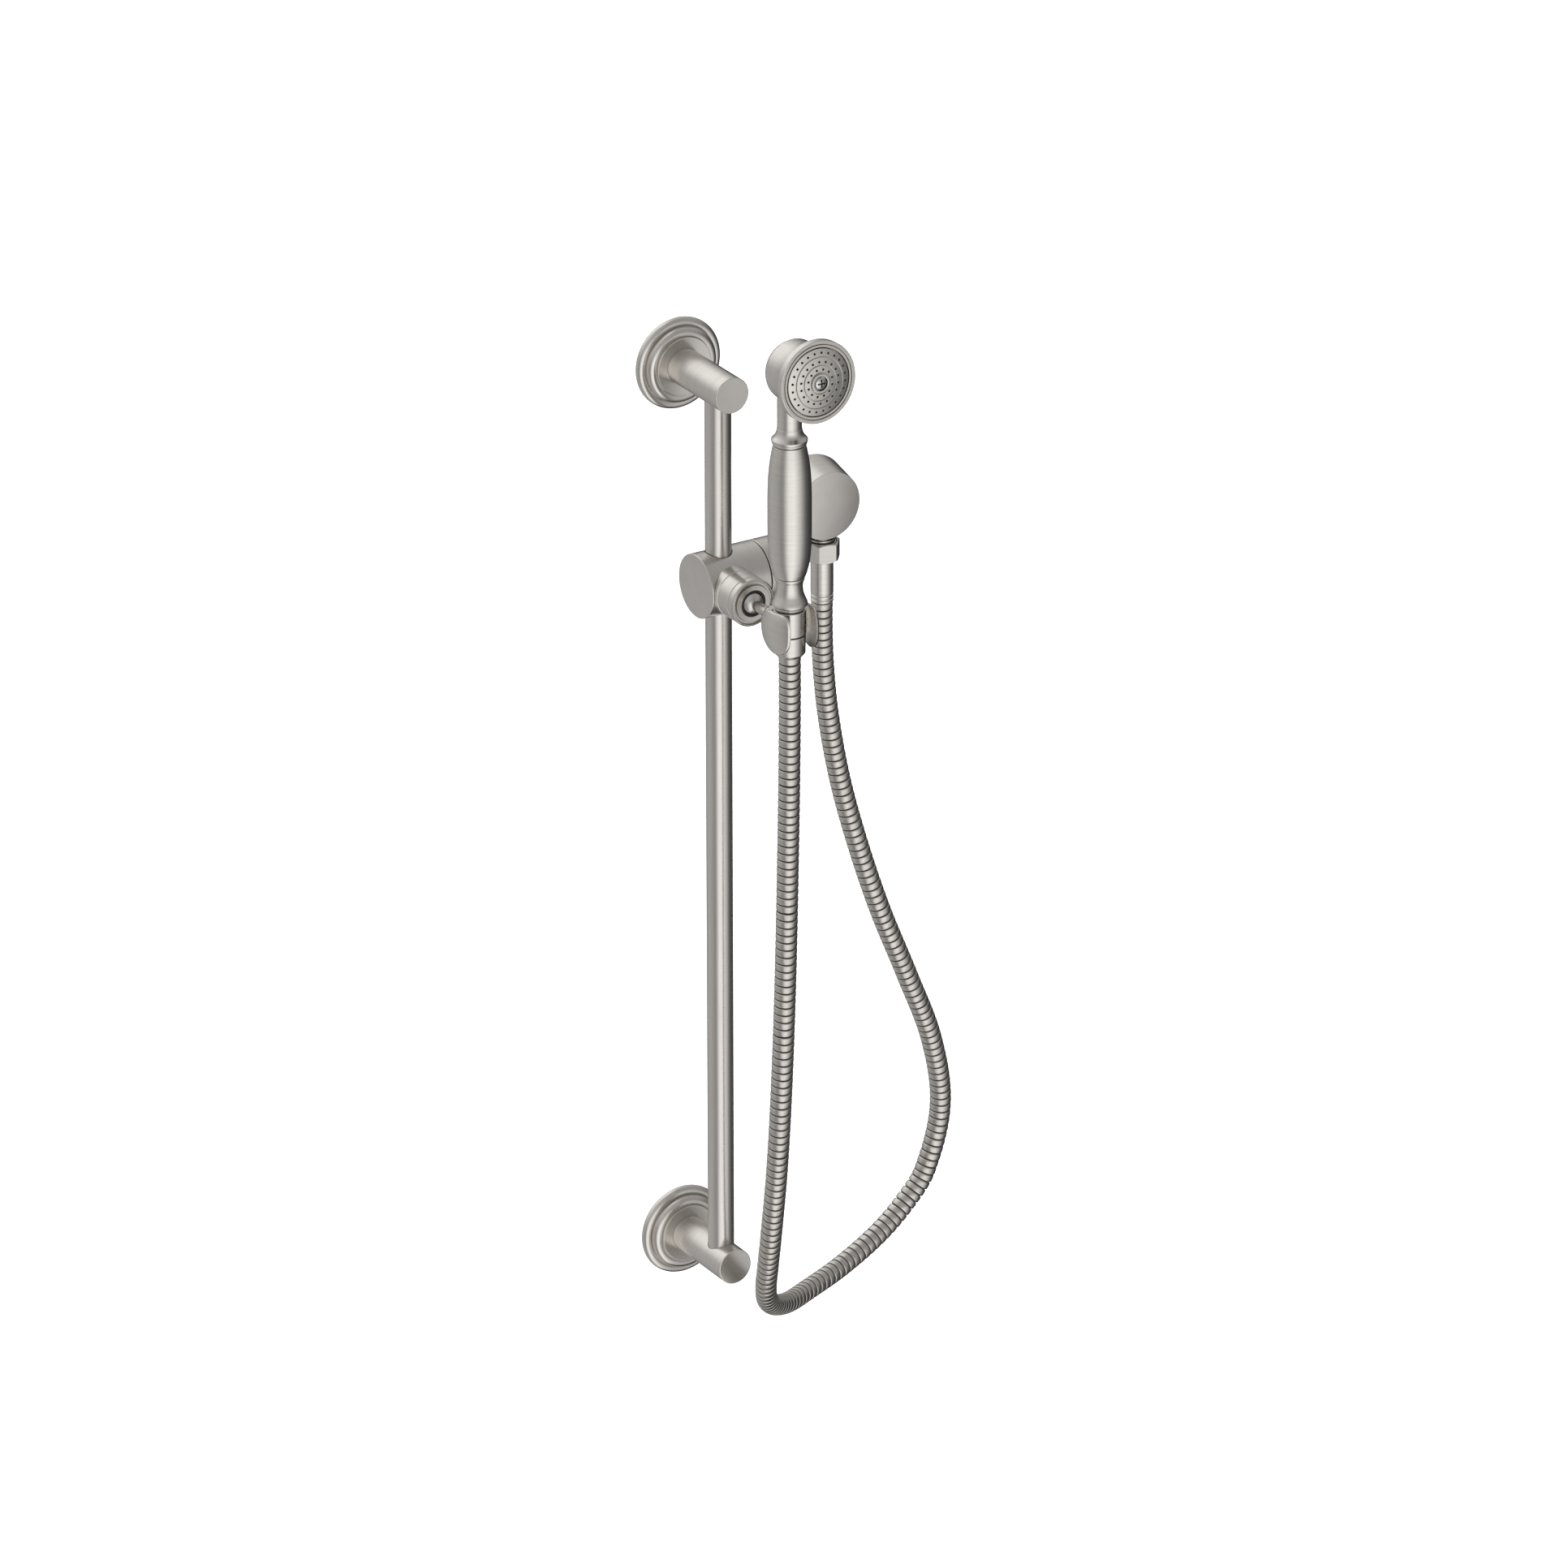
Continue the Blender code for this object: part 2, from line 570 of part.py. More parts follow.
def hose_handset_end(lift):
    turned(
        "hose_swivel_sleeve",
        [(7.9, SWIVEL_BOTTOM), (9.2, SWIVEL_BOTTOM), (11.2, SWIVEL_BOTTOM + 2.2), (11.4, SWIVEL_SEAM - 0.5),
         (6.0, SWIVEL_SEAM - 0.5), (6.0, SWIVEL_SEAM - 4), (7.9, SWIVEL_SEAM - 4)],
        NICKEL, (0, -HANDSET_OUT, 0), parent=lift,
    )


def handle(spin):
    at = (0, -HANDSET_OUT, 0)

    def part(name, profile, look=NICKEL, segments=SEGMENTS):
        return turned(name, profile, look, at, FACING_UP, spin, segments)

    part("tail_nut", [(8.9, SWIVEL_SEAM + 3.5), (6.5, SWIVEL_SEAM + 3.5), (6.5, SWIVEL_SEAM + 0.4),
                      (11.4, SWIVEL_SEAM + 0.4), (TAIL_RADIUS, TAIL_TOP - 0.6), (TAIL_RADIUS - 0.6, TAIL_TOP),
                      (8.9, TAIL_TOP)])
    part("tail_washer", tube_profile(5.0, 8.5, SWIVEL_SEAM + 3.9, SWIVEL_SEAM + 5.9), RUBBER, 16)
    part("flow_restrictor", tube_profile(2.0, 8.4, SWIVEL_SEAM + 6.3, SWIVEL_SEAM + 7.8), PLASTIC, 16)
    part("tail_fitting", [(6.6, -144.4), (8.5, -144.4), (8.5, -133.6), (10.5, -133.4), (10.9, -132.4),
                          (10.5, -131.4), (8.2, -131.2), (8.2, -110.0), (6.6, -110.0)])
    waist = [(12.2, -130.9), (12.7, -129.8), (12.4, -128.2), (11.2, -124.4), (10.2, -120.4), (9.9, -117.0),
             (10.1, -113.2), (10.5, -111.2), (10.4, -109.4)]
    part("lower_collar", waist + [(8.5, -109.4), (8.5, -130.9)])
    grip = [(11.3, -108.9), (12.3, -106.0), (13.9, -99.0), (15.0, -90.0), (15.55, -79.0), (15.6, -60.0),
            (15.5, -44.0), (14.9, -31.0), (13.6, -20.0), (12.1, -11.5), (11.6, GRIP_TOP)]
    grip_inside = [(9.4, GRIP_TOP), (9.4, -16.0), (11.4, -24.0), (12.6, -60.0), (11.4, -96.0), (8.6, -104.0),
                   (8.6, GRIP_BOTTOM)]
    part("grip_sleeve", grip + grip_inside)
    bead = [(11.9, -9.1), (12.6, -8.6), (12.2, -7.6), (12.9, -6.2), (12.6, -4.8), (11.0, -2.6), (9.6, 0.4),
            (9.0, 3.0)]
    part("upper_collar", bead + [(8.95, 3.0), (8.95, -9.1)])
    part("water_tube", tube_profile(5.0, 6.3, -143.6, -12.0), PLASTIC, 16)


def head(spin):
    """Neck and cup, one casting, hollow from the handle to the spray face."""
    face_axis = pivot("spray_face_axis", (0, -FACE_OUT, FACE_Z), spin)
    facing = (math.pi / 2 - FACE_TILT, 0.0, 0.0)
    face_at = (0, -FACE_OUT, FACE_Z)
    neck_at = (0, -HANDSET_OUT, 0)

    def spun(name, profile, look, segments=SEGMENTS):
        return turned(name, profile, look, face_at, facing, face_axis, segments)

    back = -CUP_DEPTH
    shell = [(0, back), (12.0, back + 0.8), (17.5, back + 2.6), (20.8, back + 6.0), (22.0, back + 11.0),
             (22.8, -18.0), (24.0, -12.0), (26.0, -8.4), (28.6, -6.2), (FACE_RADIUS, -5.2),
             (FACE_RADIUS, -0.6), (29.5, 0.0), (27.2, 0.0), (26.9, -1.2), (26.5, -0.2), (25.3, -0.2),
             (25.0, -3.0), (0, -3.0)]
    cup = spun("head_casting", shell, NICKEL, FINE_SEGMENTS)
    dome = arc(0, 36.0, NECK_RADIUS, 0, 90, 4)
    neck = [(0, -9.0), (8.7, -9.0)] + dome[:-1] + [(0, 36.0 + NECK_RADIUS)]
    join(cup, "neck_core", neck, neck_at, FACING_UP, spin)
    chamber = [(0, -1.0), (24.3, -1.0), (24.3, -6.0), (20.6, -14.0), (19.6, -26.0), (14.0, -32.0), (0, -32.5)]
    boolean(cup, "DIFFERENCE", spun("cup_chamber", chamber, None))
    cut(cup, "neck_passage", rod_profile(6.6, -12.0, 40.0), neck_at, FACING_UP, spin)
    boolean(cup, "UNION", spun("face_post", [(0, -36.0), (4.2, -36.0), (4.2, -6.6), (0, -6.6)], None, 12))
    boolean(cup, "DIFFERENCE", spun("face_post_thread", [(0, -18.0), (1.9, -18.0), (1.9, -5.0), (0, -5.0)], None, 12))
    spun("face_seal", tube_profile(22.6, 23.8, -5.6, -3.3), RUBBER)
    dish = [(24.6, -2.6), (24.6, -0.6), (21.4, 0.5), (18.0, 1.3), (15.2, 1.8), (12.6, 2.3), (9.9, 2.6), (7.6, 2.8),
            (7.4, 3.6), (5.2, 3.6), (4.9, 1.4), (2.2, 1.4), (2.2, -0.6), (9.0, -0.8), (16.0, -1.6), (22.0, -3.0)]
    spun("spray_plate", dish, NICKEL, FINE_SEGMENTS)
    screw = [(0, -16.0), (1.6, -16.0), (1.6, 1.7), (4.4, 1.7), (4.4, 3.0), (3.4, 3.8), (0, 4.0)]
    spun("face_screw", screw, STEEL, 16)


# ---------------------------------------------------------------- hose


def hose(parents):
    path = smooth_path(HOSE_ROUTE, HOSE_POINT_SPACING)
    lowest = min(range(len(path)), key=lambda k: path[k].z)
    start = 0
    for (name, end_z), parent in zip(HOSE_LENGTHS, parents):
        last = next((k for k in range(lowest, len(path)) if path[k].z > end_z + 0.01), len(path) - 1)
        run = [p.copy() for p in path[start:last]]
        if last == len(path) - 1 and end_z == HOSE_LENGTHS[-1][1]:
            run.append(path[-1].copy())
        else:
            share = (end_z - path[last - 1].z) / (path[last].z - path[last - 1].z)
            run.append(path[last - 1].lerp(path[last], share))
            path.insert(last, run[-1].copy())
        if start:
            run[0] += (run[1] - run[0]).normalized() * GAP
        start = last
        tube_along(name, run, HOSE_RADIUS, DARK_NICKEL, parent)


def build():
    clear_scene()
    rail()
    wall_end("upper", 0.0, -1)
    wall_end("lower", -POST_SPACING, 1)
    outlet = elbow()
    check_valve(outlet)
    hose_wall_end(outlet)
    rail_axis = (0, -RAIL_OUT, SLIDER_Z)
    carrier = pivot("slider_height_axis", rail_axis)
    guide_rings(carrier)
    turn = pivot("slider_turn_axis", rail_axis, carrier)
    slider(turn)
    lock(turn)
    roll = ball_joint(turn)
    cradle(roll)
    lift = pivot("handset_lift_axis", (0, -HANDSET_OUT, SWIVEL_SEAM), roll)
    hose_handset_end(lift)
    spin = pivot("handset_turn_axis", (0, -HANDSET_OUT, SWIVEL_SEAM), lift)
    handle(spin)
    head(spin)
    swing = bpy.data.objects["ball_swing_axis"]
    tilt = bpy.data.objects["ball_tilt_axis"]
    hose([None, carrier, turn, swing, tilt, roll])


build()
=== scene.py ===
"""Looks of the handshower rail kit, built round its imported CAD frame.

Lengths are millimetres until MM turns them into metres. A turned piece's outline is a list of (radius,
height, fillet) corners, with the height measured along the piece's own axis from the place that the piece
is given: the lower, rear or left end of its CAD node, or one of the shared places below.
"""

import json
import math

import bmesh
import bpy
import numpy as np
from mathutils import Matrix, Vector, geometry


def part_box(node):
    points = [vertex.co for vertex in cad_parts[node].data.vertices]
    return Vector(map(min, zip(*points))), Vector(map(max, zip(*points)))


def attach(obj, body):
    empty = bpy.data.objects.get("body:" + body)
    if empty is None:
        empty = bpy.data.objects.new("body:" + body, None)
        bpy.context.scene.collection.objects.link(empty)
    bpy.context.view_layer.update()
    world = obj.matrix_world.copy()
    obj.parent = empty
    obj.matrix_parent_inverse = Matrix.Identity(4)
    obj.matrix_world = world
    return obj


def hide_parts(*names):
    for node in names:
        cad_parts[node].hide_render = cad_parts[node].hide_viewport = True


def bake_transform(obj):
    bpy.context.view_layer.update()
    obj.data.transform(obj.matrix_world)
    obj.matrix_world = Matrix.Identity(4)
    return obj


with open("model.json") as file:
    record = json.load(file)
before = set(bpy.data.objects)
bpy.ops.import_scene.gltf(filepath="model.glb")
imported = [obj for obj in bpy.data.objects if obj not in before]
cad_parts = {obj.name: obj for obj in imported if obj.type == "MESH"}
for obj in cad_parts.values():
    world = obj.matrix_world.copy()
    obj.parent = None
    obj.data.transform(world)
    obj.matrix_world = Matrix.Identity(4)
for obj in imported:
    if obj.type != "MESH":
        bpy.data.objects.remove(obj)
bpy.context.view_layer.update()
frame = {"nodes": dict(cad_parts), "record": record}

MM = 0.001
GAP = 0.3  # between the ends of the hose's lengths
STEPS = 128  # round a turned piece
TWIST = 0.02  # turns a tool, in radians, so that its edges miss those of the piece it carves

UP = Matrix.Identity(3)
FRONT = Matrix.Rotation(math.pi / 2, 3, "X")  # local +Z points away from the wall
RIGHT = Matrix.Rotation(math.pi / 2, 3, "Y")
FACE_TILT = math.radians(3.0)  # the spray face looks slightly up
FACE = Matrix.Rotation(math.pi / 2 - FACE_TILT, 3, "X")
CAMERA_AZIMUTH = math.radians(-31.52)
CAMERA_ELEVATION = math.radians(24.18)
CAMERA_ROLL = math.radians(-0.074)
CAMERA_DISTANCE = 7.834  # metres
CAMERA_TARGET = Vector((65.2, -40.0, -327.6)) * MM


# ---------------------------------------------------------------- materials


def surface(name, colour, roughness, metallic):
    """A new material and its shader."""
    mat = bpy.data.materials.new(name)
    mat.use_nodes = True
    shader = mat.node_tree.nodes["Principled BSDF"]
    shader.inputs["Base Color"].default_value = (*colour, 1)
    shader.inputs["Roughness"].default_value = roughness
    shader.inputs["Metallic"].default_value = metallic
    mat.diffuse_color = (*colour, 1)
    return mat, shader


# Sizes of the noises, in ripples per metre
LINES = 700.0
CLOUDS = 60.0
SKIN = 1500.0


def grain(mat, scale, stretch, detail=4.0):
    """Noise in the piece's own space, drawn into streaks by an uneven stretch. Returns its 0 to 1 value."""
    tree = mat.node_tree
    spot = tree.nodes.new("ShaderNodeTexCoord")
    squeeze = tree.nodes.new("ShaderNodeMapping")
    squeeze.inputs["Scale"].default_value = stretch
    noise = tree.nodes.new("ShaderNodeTexNoise")
    noise.inputs["Scale"].default_value = scale
    noise.inputs["Detail"].default_value = detail
    tree.links.new(spot.outputs["Object"], squeeze.inputs["Vector"])
    tree.links.new(squeeze.outputs["Vector"], noise.inputs["Vector"])
    return noise.outputs["Fac"]


def spread(mat, value, low, high):
    """Maps the middle of a noise's range onto low to high."""
    node = mat.node_tree.nodes.new("ShaderNodeMapRange")
    node.inputs["From Min"].default_value = 0.3
    node.inputs["From Max"].default_value = 0.7
    node.inputs["To Min"].default_value = low
    node.inputs["To Max"].default_value = high
    mat.node_tree.links.new(value, node.inputs["Value"])
    return node.outputs["Result"]


def tint(mat, shader, value, dark, light):
    """Base colour between dark, where the value is 0, and light, where it is 1."""
    node = mat.node_tree.nodes.new("ShaderNodeMix")
    node.data_type = "RGBA"
    node.inputs["A"].default_value = (*dark, 1)
    node.inputs["B"].default_value = (*light, 1)
    mat.node_tree.links.new(value, node.inputs["Factor"])
    mat.node_tree.links.new(node.outputs["Result"], shader.inputs["Base Color"])


def relief(mat, shader, value, strength, depth_mm):
    """Bumps that follow the value."""
    node = mat.node_tree.nodes.new("ShaderNodeBump")
    node.inputs["Strength"].default_value = strength
    node.inputs["Distance"].default_value = depth_mm * MM
    mat.node_tree.links.new(value, node.inputs["Height"])
    mat.node_tree.links.new(node.outputs["Normal"], shader.inputs["Normal"])


def brushed_metal(name, dark, light, roughness, stretch):
    """Satin metal: faint brush lines, drawn out where stretch is small, and a cloudy change of gloss."""
    mat, shader = surface(name, light, sum(roughness) / 2, 1.0)
    lines = grain(mat, LINES, stretch)
    tint(mat, shader, spread(mat, lines, 0.0, 1.0), dark, light)
    clouds = grain(mat, CLOUDS, (1, 1, 1), 3.0)
    mat.node_tree.links.new(spread(mat, clouds, *roughness), shader.inputs["Roughness"])
    relief(mat, shader, lines, 0.05, 0.004)
    return mat


NICKEL_DARK = (0.590, 0.565, 0.530)
NICKEL_LIGHT = (0.645, 0.620, 0.585)
NICKEL_ROUGHNESS = (0.25, 0.29)


def nickel(along):
    """Brushed nickel. Its lines run round the axis that a piece is turned about, and along the rail."""
    stretches = {"x": (1, 0.06, 0.06), "y": (0.06, 1, 0.06), "z": (0.06, 0.06, 1), "rail": (1, 1, 0.02)}
    return brushed_metal(
        f"brushed_nickel_{along}", NICKEL_DARK, NICKEL_LIGHT, NICKEL_ROUGHNESS, stretches[along],
    )


def moulded(name, colour, roughness, bump):
    """Moulded plastic or rubber: a fine pebbled skin over an even colour."""
    mat, shader = surface(name, colour, roughness, 0.0)
    skin = grain(mat, SKIN, (1, 1, 1), 2.0)
    clouds = grain(mat, CLOUDS, (1, 1, 1), 2.0)
    darker = tuple(c * 0.85 for c in colour)
    tint(mat, shader, spread(mat, clouds, 0.0, 1.0), darker, colour)
    gloss = spread(mat, skin, roughness - 0.08, roughness + 0.08)
    mat.node_tree.links.new(gloss, shader.inputs["Roughness"])
    relief(mat, shader, skin, bump, 0.02)
    return mat


nickel_x = nickel("x")
nickel_y = nickel("y")
nickel_z = nickel("z")
nickel_rail = nickel("rail")
hose_metal = brushed_metal("hose_strip", (0.50, 0.475, 0.44), (0.60, 0.575, 0.54), (0.26, 0.36), (1, 1, 0.3))
# painted shade: a near-black material put on the faces of grooves, nozzle holes and screw slots, standing in
# for the shade inside them
painted_groove_shade = moulded("groove_shadow", (0.055, 0.052, 0.048), 0.6, 0.1)
brass = brushed_metal("machined_brass", (0.62, 0.44, 0.20), (0.74, 0.56, 0.29), (0.25, 0.4), (0.1, 1, 0.1))
steel = brushed_metal("stainless_steel", (0.50, 0.50, 0.50), (0.62, 0.62, 0.62), (0.2, 0.35), (1, 1, 1))
rubber = moulded("seal_rubber", (0.022, 0.022, 0.023), 0.55, 0.15)
white_plastic = moulded("white_plastic", (0.78, 0.78, 0.75), 0.42, 0.06)


# ---------------------------------------------------------------- outlines and turned meshes


def rounded(corners, steps=5):
    """The outline through the corners, each turned by an arc of its own fillet radius."""
    points = []
    for k, corner in enumerate(corners):
        here = Vector(corner[:2])
        fillet = corner[2] if len(corner) > 2 else 0
        if not fillet:
            points.append(here)
            continue
        back = Vector(corners[k - 1][:2]) - here
        ahead = Vector(corners[(k + 1) % len(corners)][:2]) - here
        half = back.angle(ahead) / 2
        reach = fillet / math.tan(half)
        inwards = (back.normalized() + ahead.normalized()).normalized()
        centre = here + inwards * fillet / math.sin(half)
        first = (here + back.normalized() * reach - centre).normalized()
        last = (here + ahead.normalized() * reach - centre).normalized()
        hold = min(0.15, fillet)  # a short straight beside each fillet keeps the flats shaded flat
        if back.length > reach + 2 * hold:
            points.append(here + back.normalized() * (reach + hold))
        points += [centre + first.slerp(last, j / steps) * fillet for j in range(steps + 1)]
        if ahead.length > reach + 2 * hold:
            points.append(here + ahead.normalized() * (reach + hold))
    return points


def arc(radius, height, size, first, last, steps=10):
    """Points of a round stretch; angles are in degrees from the outward direction."""
    turns = [math.radians(first + (last - first) * k / steps) for k in range(steps + 1)]
    return [Vector((radius + size * math.cos(t), height + size * math.sin(t))) for t in turns]


def smooth_spans(points):
    """The control points of a smooth open curve through the points, one Bezier span at a time."""
    ends = [2 * points[0] - points[1]] + points + [2 * points[-1] - points[-2]]
    for before, here, there, after in zip(ends, ends[1:], ends[2:], ends[3:]):
        reach = (there - here).length / 3
        lead = (there - before).normalized() * reach
        trail = (after - here).normalized() * reach
        yield here, here + lead, there - trail, there


def flowing(points, steps=6):
    """A smooth open outline through the points."""
    path = [Vector((*p, 0)) for p in points]
    out = []
    for span in smooth_spans(path):
        out += geometry.interpolate_bezier(*span, steps + 1)[:-1]
    return [p.to_2d() for p in out + [path[-1]]]


def finished(mesh, angle=30):
    """Smooth shading, except along edges sharper than the angle."""
    mesh.shade_smooth()
    mesh.set_sharp_from_angle(angle=math.radians(angle))
    return mesh


def band(bm, one, two):
    """Faces between two rings with as many points each."""
    corners = zip(one, one[1:] + one[:1], two[1:] + two[:1], two)
    return [bm.faces.new(corner) for corner in corners]


def raw_mesh(bm, name):
    """The mesh of a bmesh, as it is."""
    mesh = bpy.data.meshes.new(name)
    bm.to_mesh(mesh)
    bm.free()
    return mesh


def meshed(bm, name, angle=30):
    """The mesh of a bmesh, with its faces turned outwards and shaded."""
    bmesh.ops.recalc_face_normals(bm, faces=bm.faces)
    return finished(raw_mesh(bm, name), angle)


def turned_mesh(name, outline, steps=STEPS, start=0.0):
    """Spin an outline about +Z. One whose ends leave the axis closes on itself."""
    bm = bmesh.new()
    rings = []
    for radius, height in outline:
        if radius < 1e-6:
            rings.append([bm.verts.new((0, 0, height * MM))])
            continue
        turns = [start + 2 * math.pi * k / steps for k in range(steps)]
        rings.append([
            bm.verts.new((radius * math.cos(a) * MM, radius * math.sin(a) * MM, height * MM)) for a in turns
        ])
    pairs = list(zip(rings, rings[1:]))
    if outline[0][0] > 1e-6:
        pairs.append((rings[-1], rings[0]))
    for one, two in pairs:
        for k in range(steps):
            j = (k + 1) % steps
            corners = (one[k % len(one)], one[j % len(one)], two[j % len(two)], two[k % len(two)])
            distinct = list(dict.fromkeys(corners))
            if len(distinct) > 2:
                bm.faces.new(distinct)
    return meshed(bm, name)


def place(name, mesh, mat, at, facing=UP):
    """A piece whose mesh is moved to its place in the row frame."""
    turn = facing.to_4x4()
    turn.translation = Vector(at)
    mesh.transform(turn)
    if mat:
        mesh.materials.append(mat)
    piece = bpy.data.objects.new(name, mesh)
    bpy.context.scene.collection.objects.link(piece)
    return piece


def turned(name, outline, mat, at, facing=UP, steps=STEPS, start=0.0):
    """A piece made by spinning an outline."""
    return place(name, turned_mesh(name, outline, steps, start), mat, at, facing)


def carve(piece, operation, *tools):
    """Booleans with throwaway tools, kept as plain mesh."""
    for tool in tools:
        step = piece.modifiers.new(operation.title(), "BOOLEAN")
        step.operation = operation
        step.solver = "EXACT"
        step.object = tool
        # a tool with a material leaves it on the faces that it cuts; this is how painted shade gets into
        # grooves, holes and slots
        step.material_mode = "TRANSFER" if tool.data.materials else "INDEX"
    graph = bpy.context.evaluated_depsgraph_get()
    mesh = bpy.data.meshes.new_from_object(piece.evaluated_get(graph))
    piece.modifiers.clear()
    piece.data = mesh
    for tool in tools:
        bpy.data.objects.remove(tool, do_unlink=True)
    finished(mesh)


def bore(radius, low, high, at, facing=UP, steps=64):
    """A plain round tool for carve."""
    outline = [(0, low), (radius, low), (radius, high), (0, high)]
    return turned("bore", outline, None, at, facing, steps, math.pi / steps)


def seat(node, facing=UP):
    """The point on a turned node's axis at its lower, rear or left end."""
    low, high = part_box(node)
    at = (low + high) / 2
    if facing is UP:
        at.z = low.z
    if facing is FRONT:
        at.y = high.y
    if facing is RIGHT:
        at.x = low.x
    return at


def length_of(node, facing=UP):
    """A turned node's length along its axis, in millimetres."""
    low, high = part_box(node)
    span = (high - low) / MM
    if facing is UP:
        return span.z
    return span.y if facing is FRONT else span.x


def stands_for(piece, body, *nodes, slot="brushed_nickel"):
    """The piece takes the nodes' place and moves with the body."""
    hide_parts(*nodes)
    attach(piece, body)


# ---------------------------------------------------------------- places worked out from the frame

WALL_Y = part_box("upper_wall_plate")[1].y
RAIL_AT = seat("rail_tube")
SLIDER_AT = (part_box("slider_barrel")[0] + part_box("slider_barrel")[1]) / 2
SLIDER_AT.x = RAIL_AT.x
SOCKET_AT = Vector((RAIL_AT.x, WALL_Y, SLIDER_AT.z))  # on the wall, behind the ball joint's axis
HANDSET_AT = seat("tail_nut")
HANDSET_AXIS = Vector((HANDSET_AT.x, HANDSET_AT.y, 0))
FACE_AT = Vector((HANDSET_AT.x, -192.6 * MM, 49.9 * MM))  # the middle of the spray face's rim
ELBOW_AT = Vector((seat("elbow_body", FRONT).x, WALL_Y, seat("elbow_body", FRONT).z))
OUTLET_AT = seat("hose_ferrule")
OUTLET_AXIS = Vector((OUTLET_AT.x, OUTLET_AT.y, 0))


# ---------------------------------------------------------------- camera


def camera():
    """The photograph's viewpoint: a long lens, from the left and above."""
    level = math.cos(CAMERA_ELEVATION)
    back = Vector((
        math.sin(CAMERA_AZIMUTH) * level, -math.cos(CAMERA_AZIMUTH) * level, math.sin(CAMERA_ELEVATION),
    ))
    data = bpy.data.cameras.new("photo_camera")
    data.sensor_width = 36.0
    data.lens = 250.5
    data.clip_end = 100.0
    view = bpy.data.objects.new("photo_camera", data)
    view.location = CAMERA_TARGET + back * CAMERA_DISTANCE
    turn = (-back).to_track_quat("-Z", "Y").to_matrix() @ Matrix.Rotation(CAMERA_ROLL, 3, "Z")
    view.rotation_euler = turn.to_euler()
    bpy.context.scene.collection.objects.link(view)
    bpy.context.scene.camera = view


# ---------------------------------------------------------------- hose

# The route's points, in millimetres, from under the ferrule to under the swivel sleeve
HOSE_ROUTE = [
    (110.7, -18.1, -202.3), (110.7, -18.1, -222), (111.6, -18.4, -252), (115, -19.7, -292),
    (122.9, -23.3, -344), (134.6, -29.1, -396), (149.9, -34.9, -449), (171, -38.4, -505),
    (193, -37.7, -563), (202.8, -34.8, -620), (191, -32.9, -671), (174, -32.9, -693),
    (148.6, -35.3, -712), (112, -42.6, -726), (75, -55.7, -730), (50, -70.2, -727),
    (29, -85.7, -717), (14, -100, -703), (4, -114, -684), (-1.6, -126, -660),
    (-5, -136.2, -629), (-5.8, -145.6, -573), (-5.8, -152, -505), (-4.6, -155.6, -415),
    (-2.5, -156, -314), (-0.8, -155, -250), (0, -154.25, -205), (0, -154.25, -169.3),
]
# Each length: its node, where it ends on the handshower's side, and the two bodies that it runs between
HOSE_LENGTHS = [
    ("hose_wall_run", -672.0, "root", "guides"),
    ("hose_turn_run", -560.0, "guides", "slider"),
    ("hose_swing_run", -462.0, "slider", "ball"),
    ("hose_tilt_run", -365.0, "ball", "stud"),
    ("hose_roll_run", -267.5, "stud", "cradle"),
    ("hose_lift_run", -169.3, "cradle", "hose_end"),
]
HOSE_PITCH = 5.65
HOSE_STEPS = 36
# One turn of the strip: (share of the pitch, radius), from one groove's bottom to the next
STRIP = [
    (0.0, 6.70), (0.06, 6.85), (0.09, 7.55), (0.14, 7.74), (0.3, 7.84),
    (0.55, 7.90), (0.8, 7.86), (0.88, 7.74), (0.92, 7.55), (0.95, 6.85),
]
GROOVE_RADIUS = 7.6  # bands whose two edges lie inside this are the groove, which gets the painted shade
# A slanted offset that sets the wall run's end point from its start; nothing else reads that point
LOOP_SPREAD = Vector((-0.643, 0, -0.766)) * 430 * MM


def smooth_path(points, spacing):
    """Points at about the given spacing on a smooth curve through the route's points."""
    route = [Vector(p) for p in points]
    path = []
    for span in smooth_spans(route):
        chord = (span[-1] - span[0]).length
        steps = max(2, round(chord / spacing) + 1)
        path += geometry.interpolate_bezier(*span, steps)[:-1]
    return np.array([p[:] for p in path + [route[-1]]])


def hose_cuts(path, along):
    """Distances along the path where its lengths meet."""
    lowest = int(path[:, 2].argmin())
    rising = path[lowest:, 2]
    return [0.0] + [float(np.interp(end, rising, along[lowest:])) for _, end, _, _ in HOSE_LENGTHS]


def strip_mesh(name, path, along, first, last):
    """The wound strip from one distance along the path to another, and the centreline of that stretch."""
    turns = round((last - first) / HOSE_PITCH)
    pitch = (last - first) / turns
    spots = [first + (k + share) * pitch for k in range(turns) for share, _ in STRIP] + [last]
    radii = [radius for _, radius in STRIP] * turns + [STRIP[0][1]]
    centres = np.stack([np.interp(spots, along, path[:, k]) for k in range(3)], axis=1)
    slopes = np.gradient(path, along, axis=0)
    ahead = np.stack([np.interp(spots, along, slopes[:, k]) for k in range(3)], axis=1)
    bm = bmesh.new()
    side = Vector((1, 0, 0))
    rings = []
    for centre, radius, slope in zip(centres, radii, ahead):
        tangent = Vector(slope).normalized()
        side = (side - tangent * side.dot(tangent)).normalized()
        other = tangent.cross(side)
        ring = []
        for k in range(HOSE_STEPS):
            a = 2 * math.pi * k / HOSE_STEPS
            out = (side * math.cos(a) + other * math.sin(a)) * radius
            ring.append(bm.verts.new((Vector(centre) + out) * MM))
        rings.append(ring)
    for one, two, here, there in zip(rings, rings[1:], radii, radii[1:]):
        # a band in the groove takes the second material, painted shade standing in for the groove's shadow
        in_groove = max(here, there) < GROOVE_RADIUS
        for face in band(bm, one, two):
            face.material_index = int(in_groove)
    bm.faces.new(reversed(rings[0]))
    bm.faces.new(rings[-1])
    return finished(raw_mesh(bm, name), 60), centres * MM


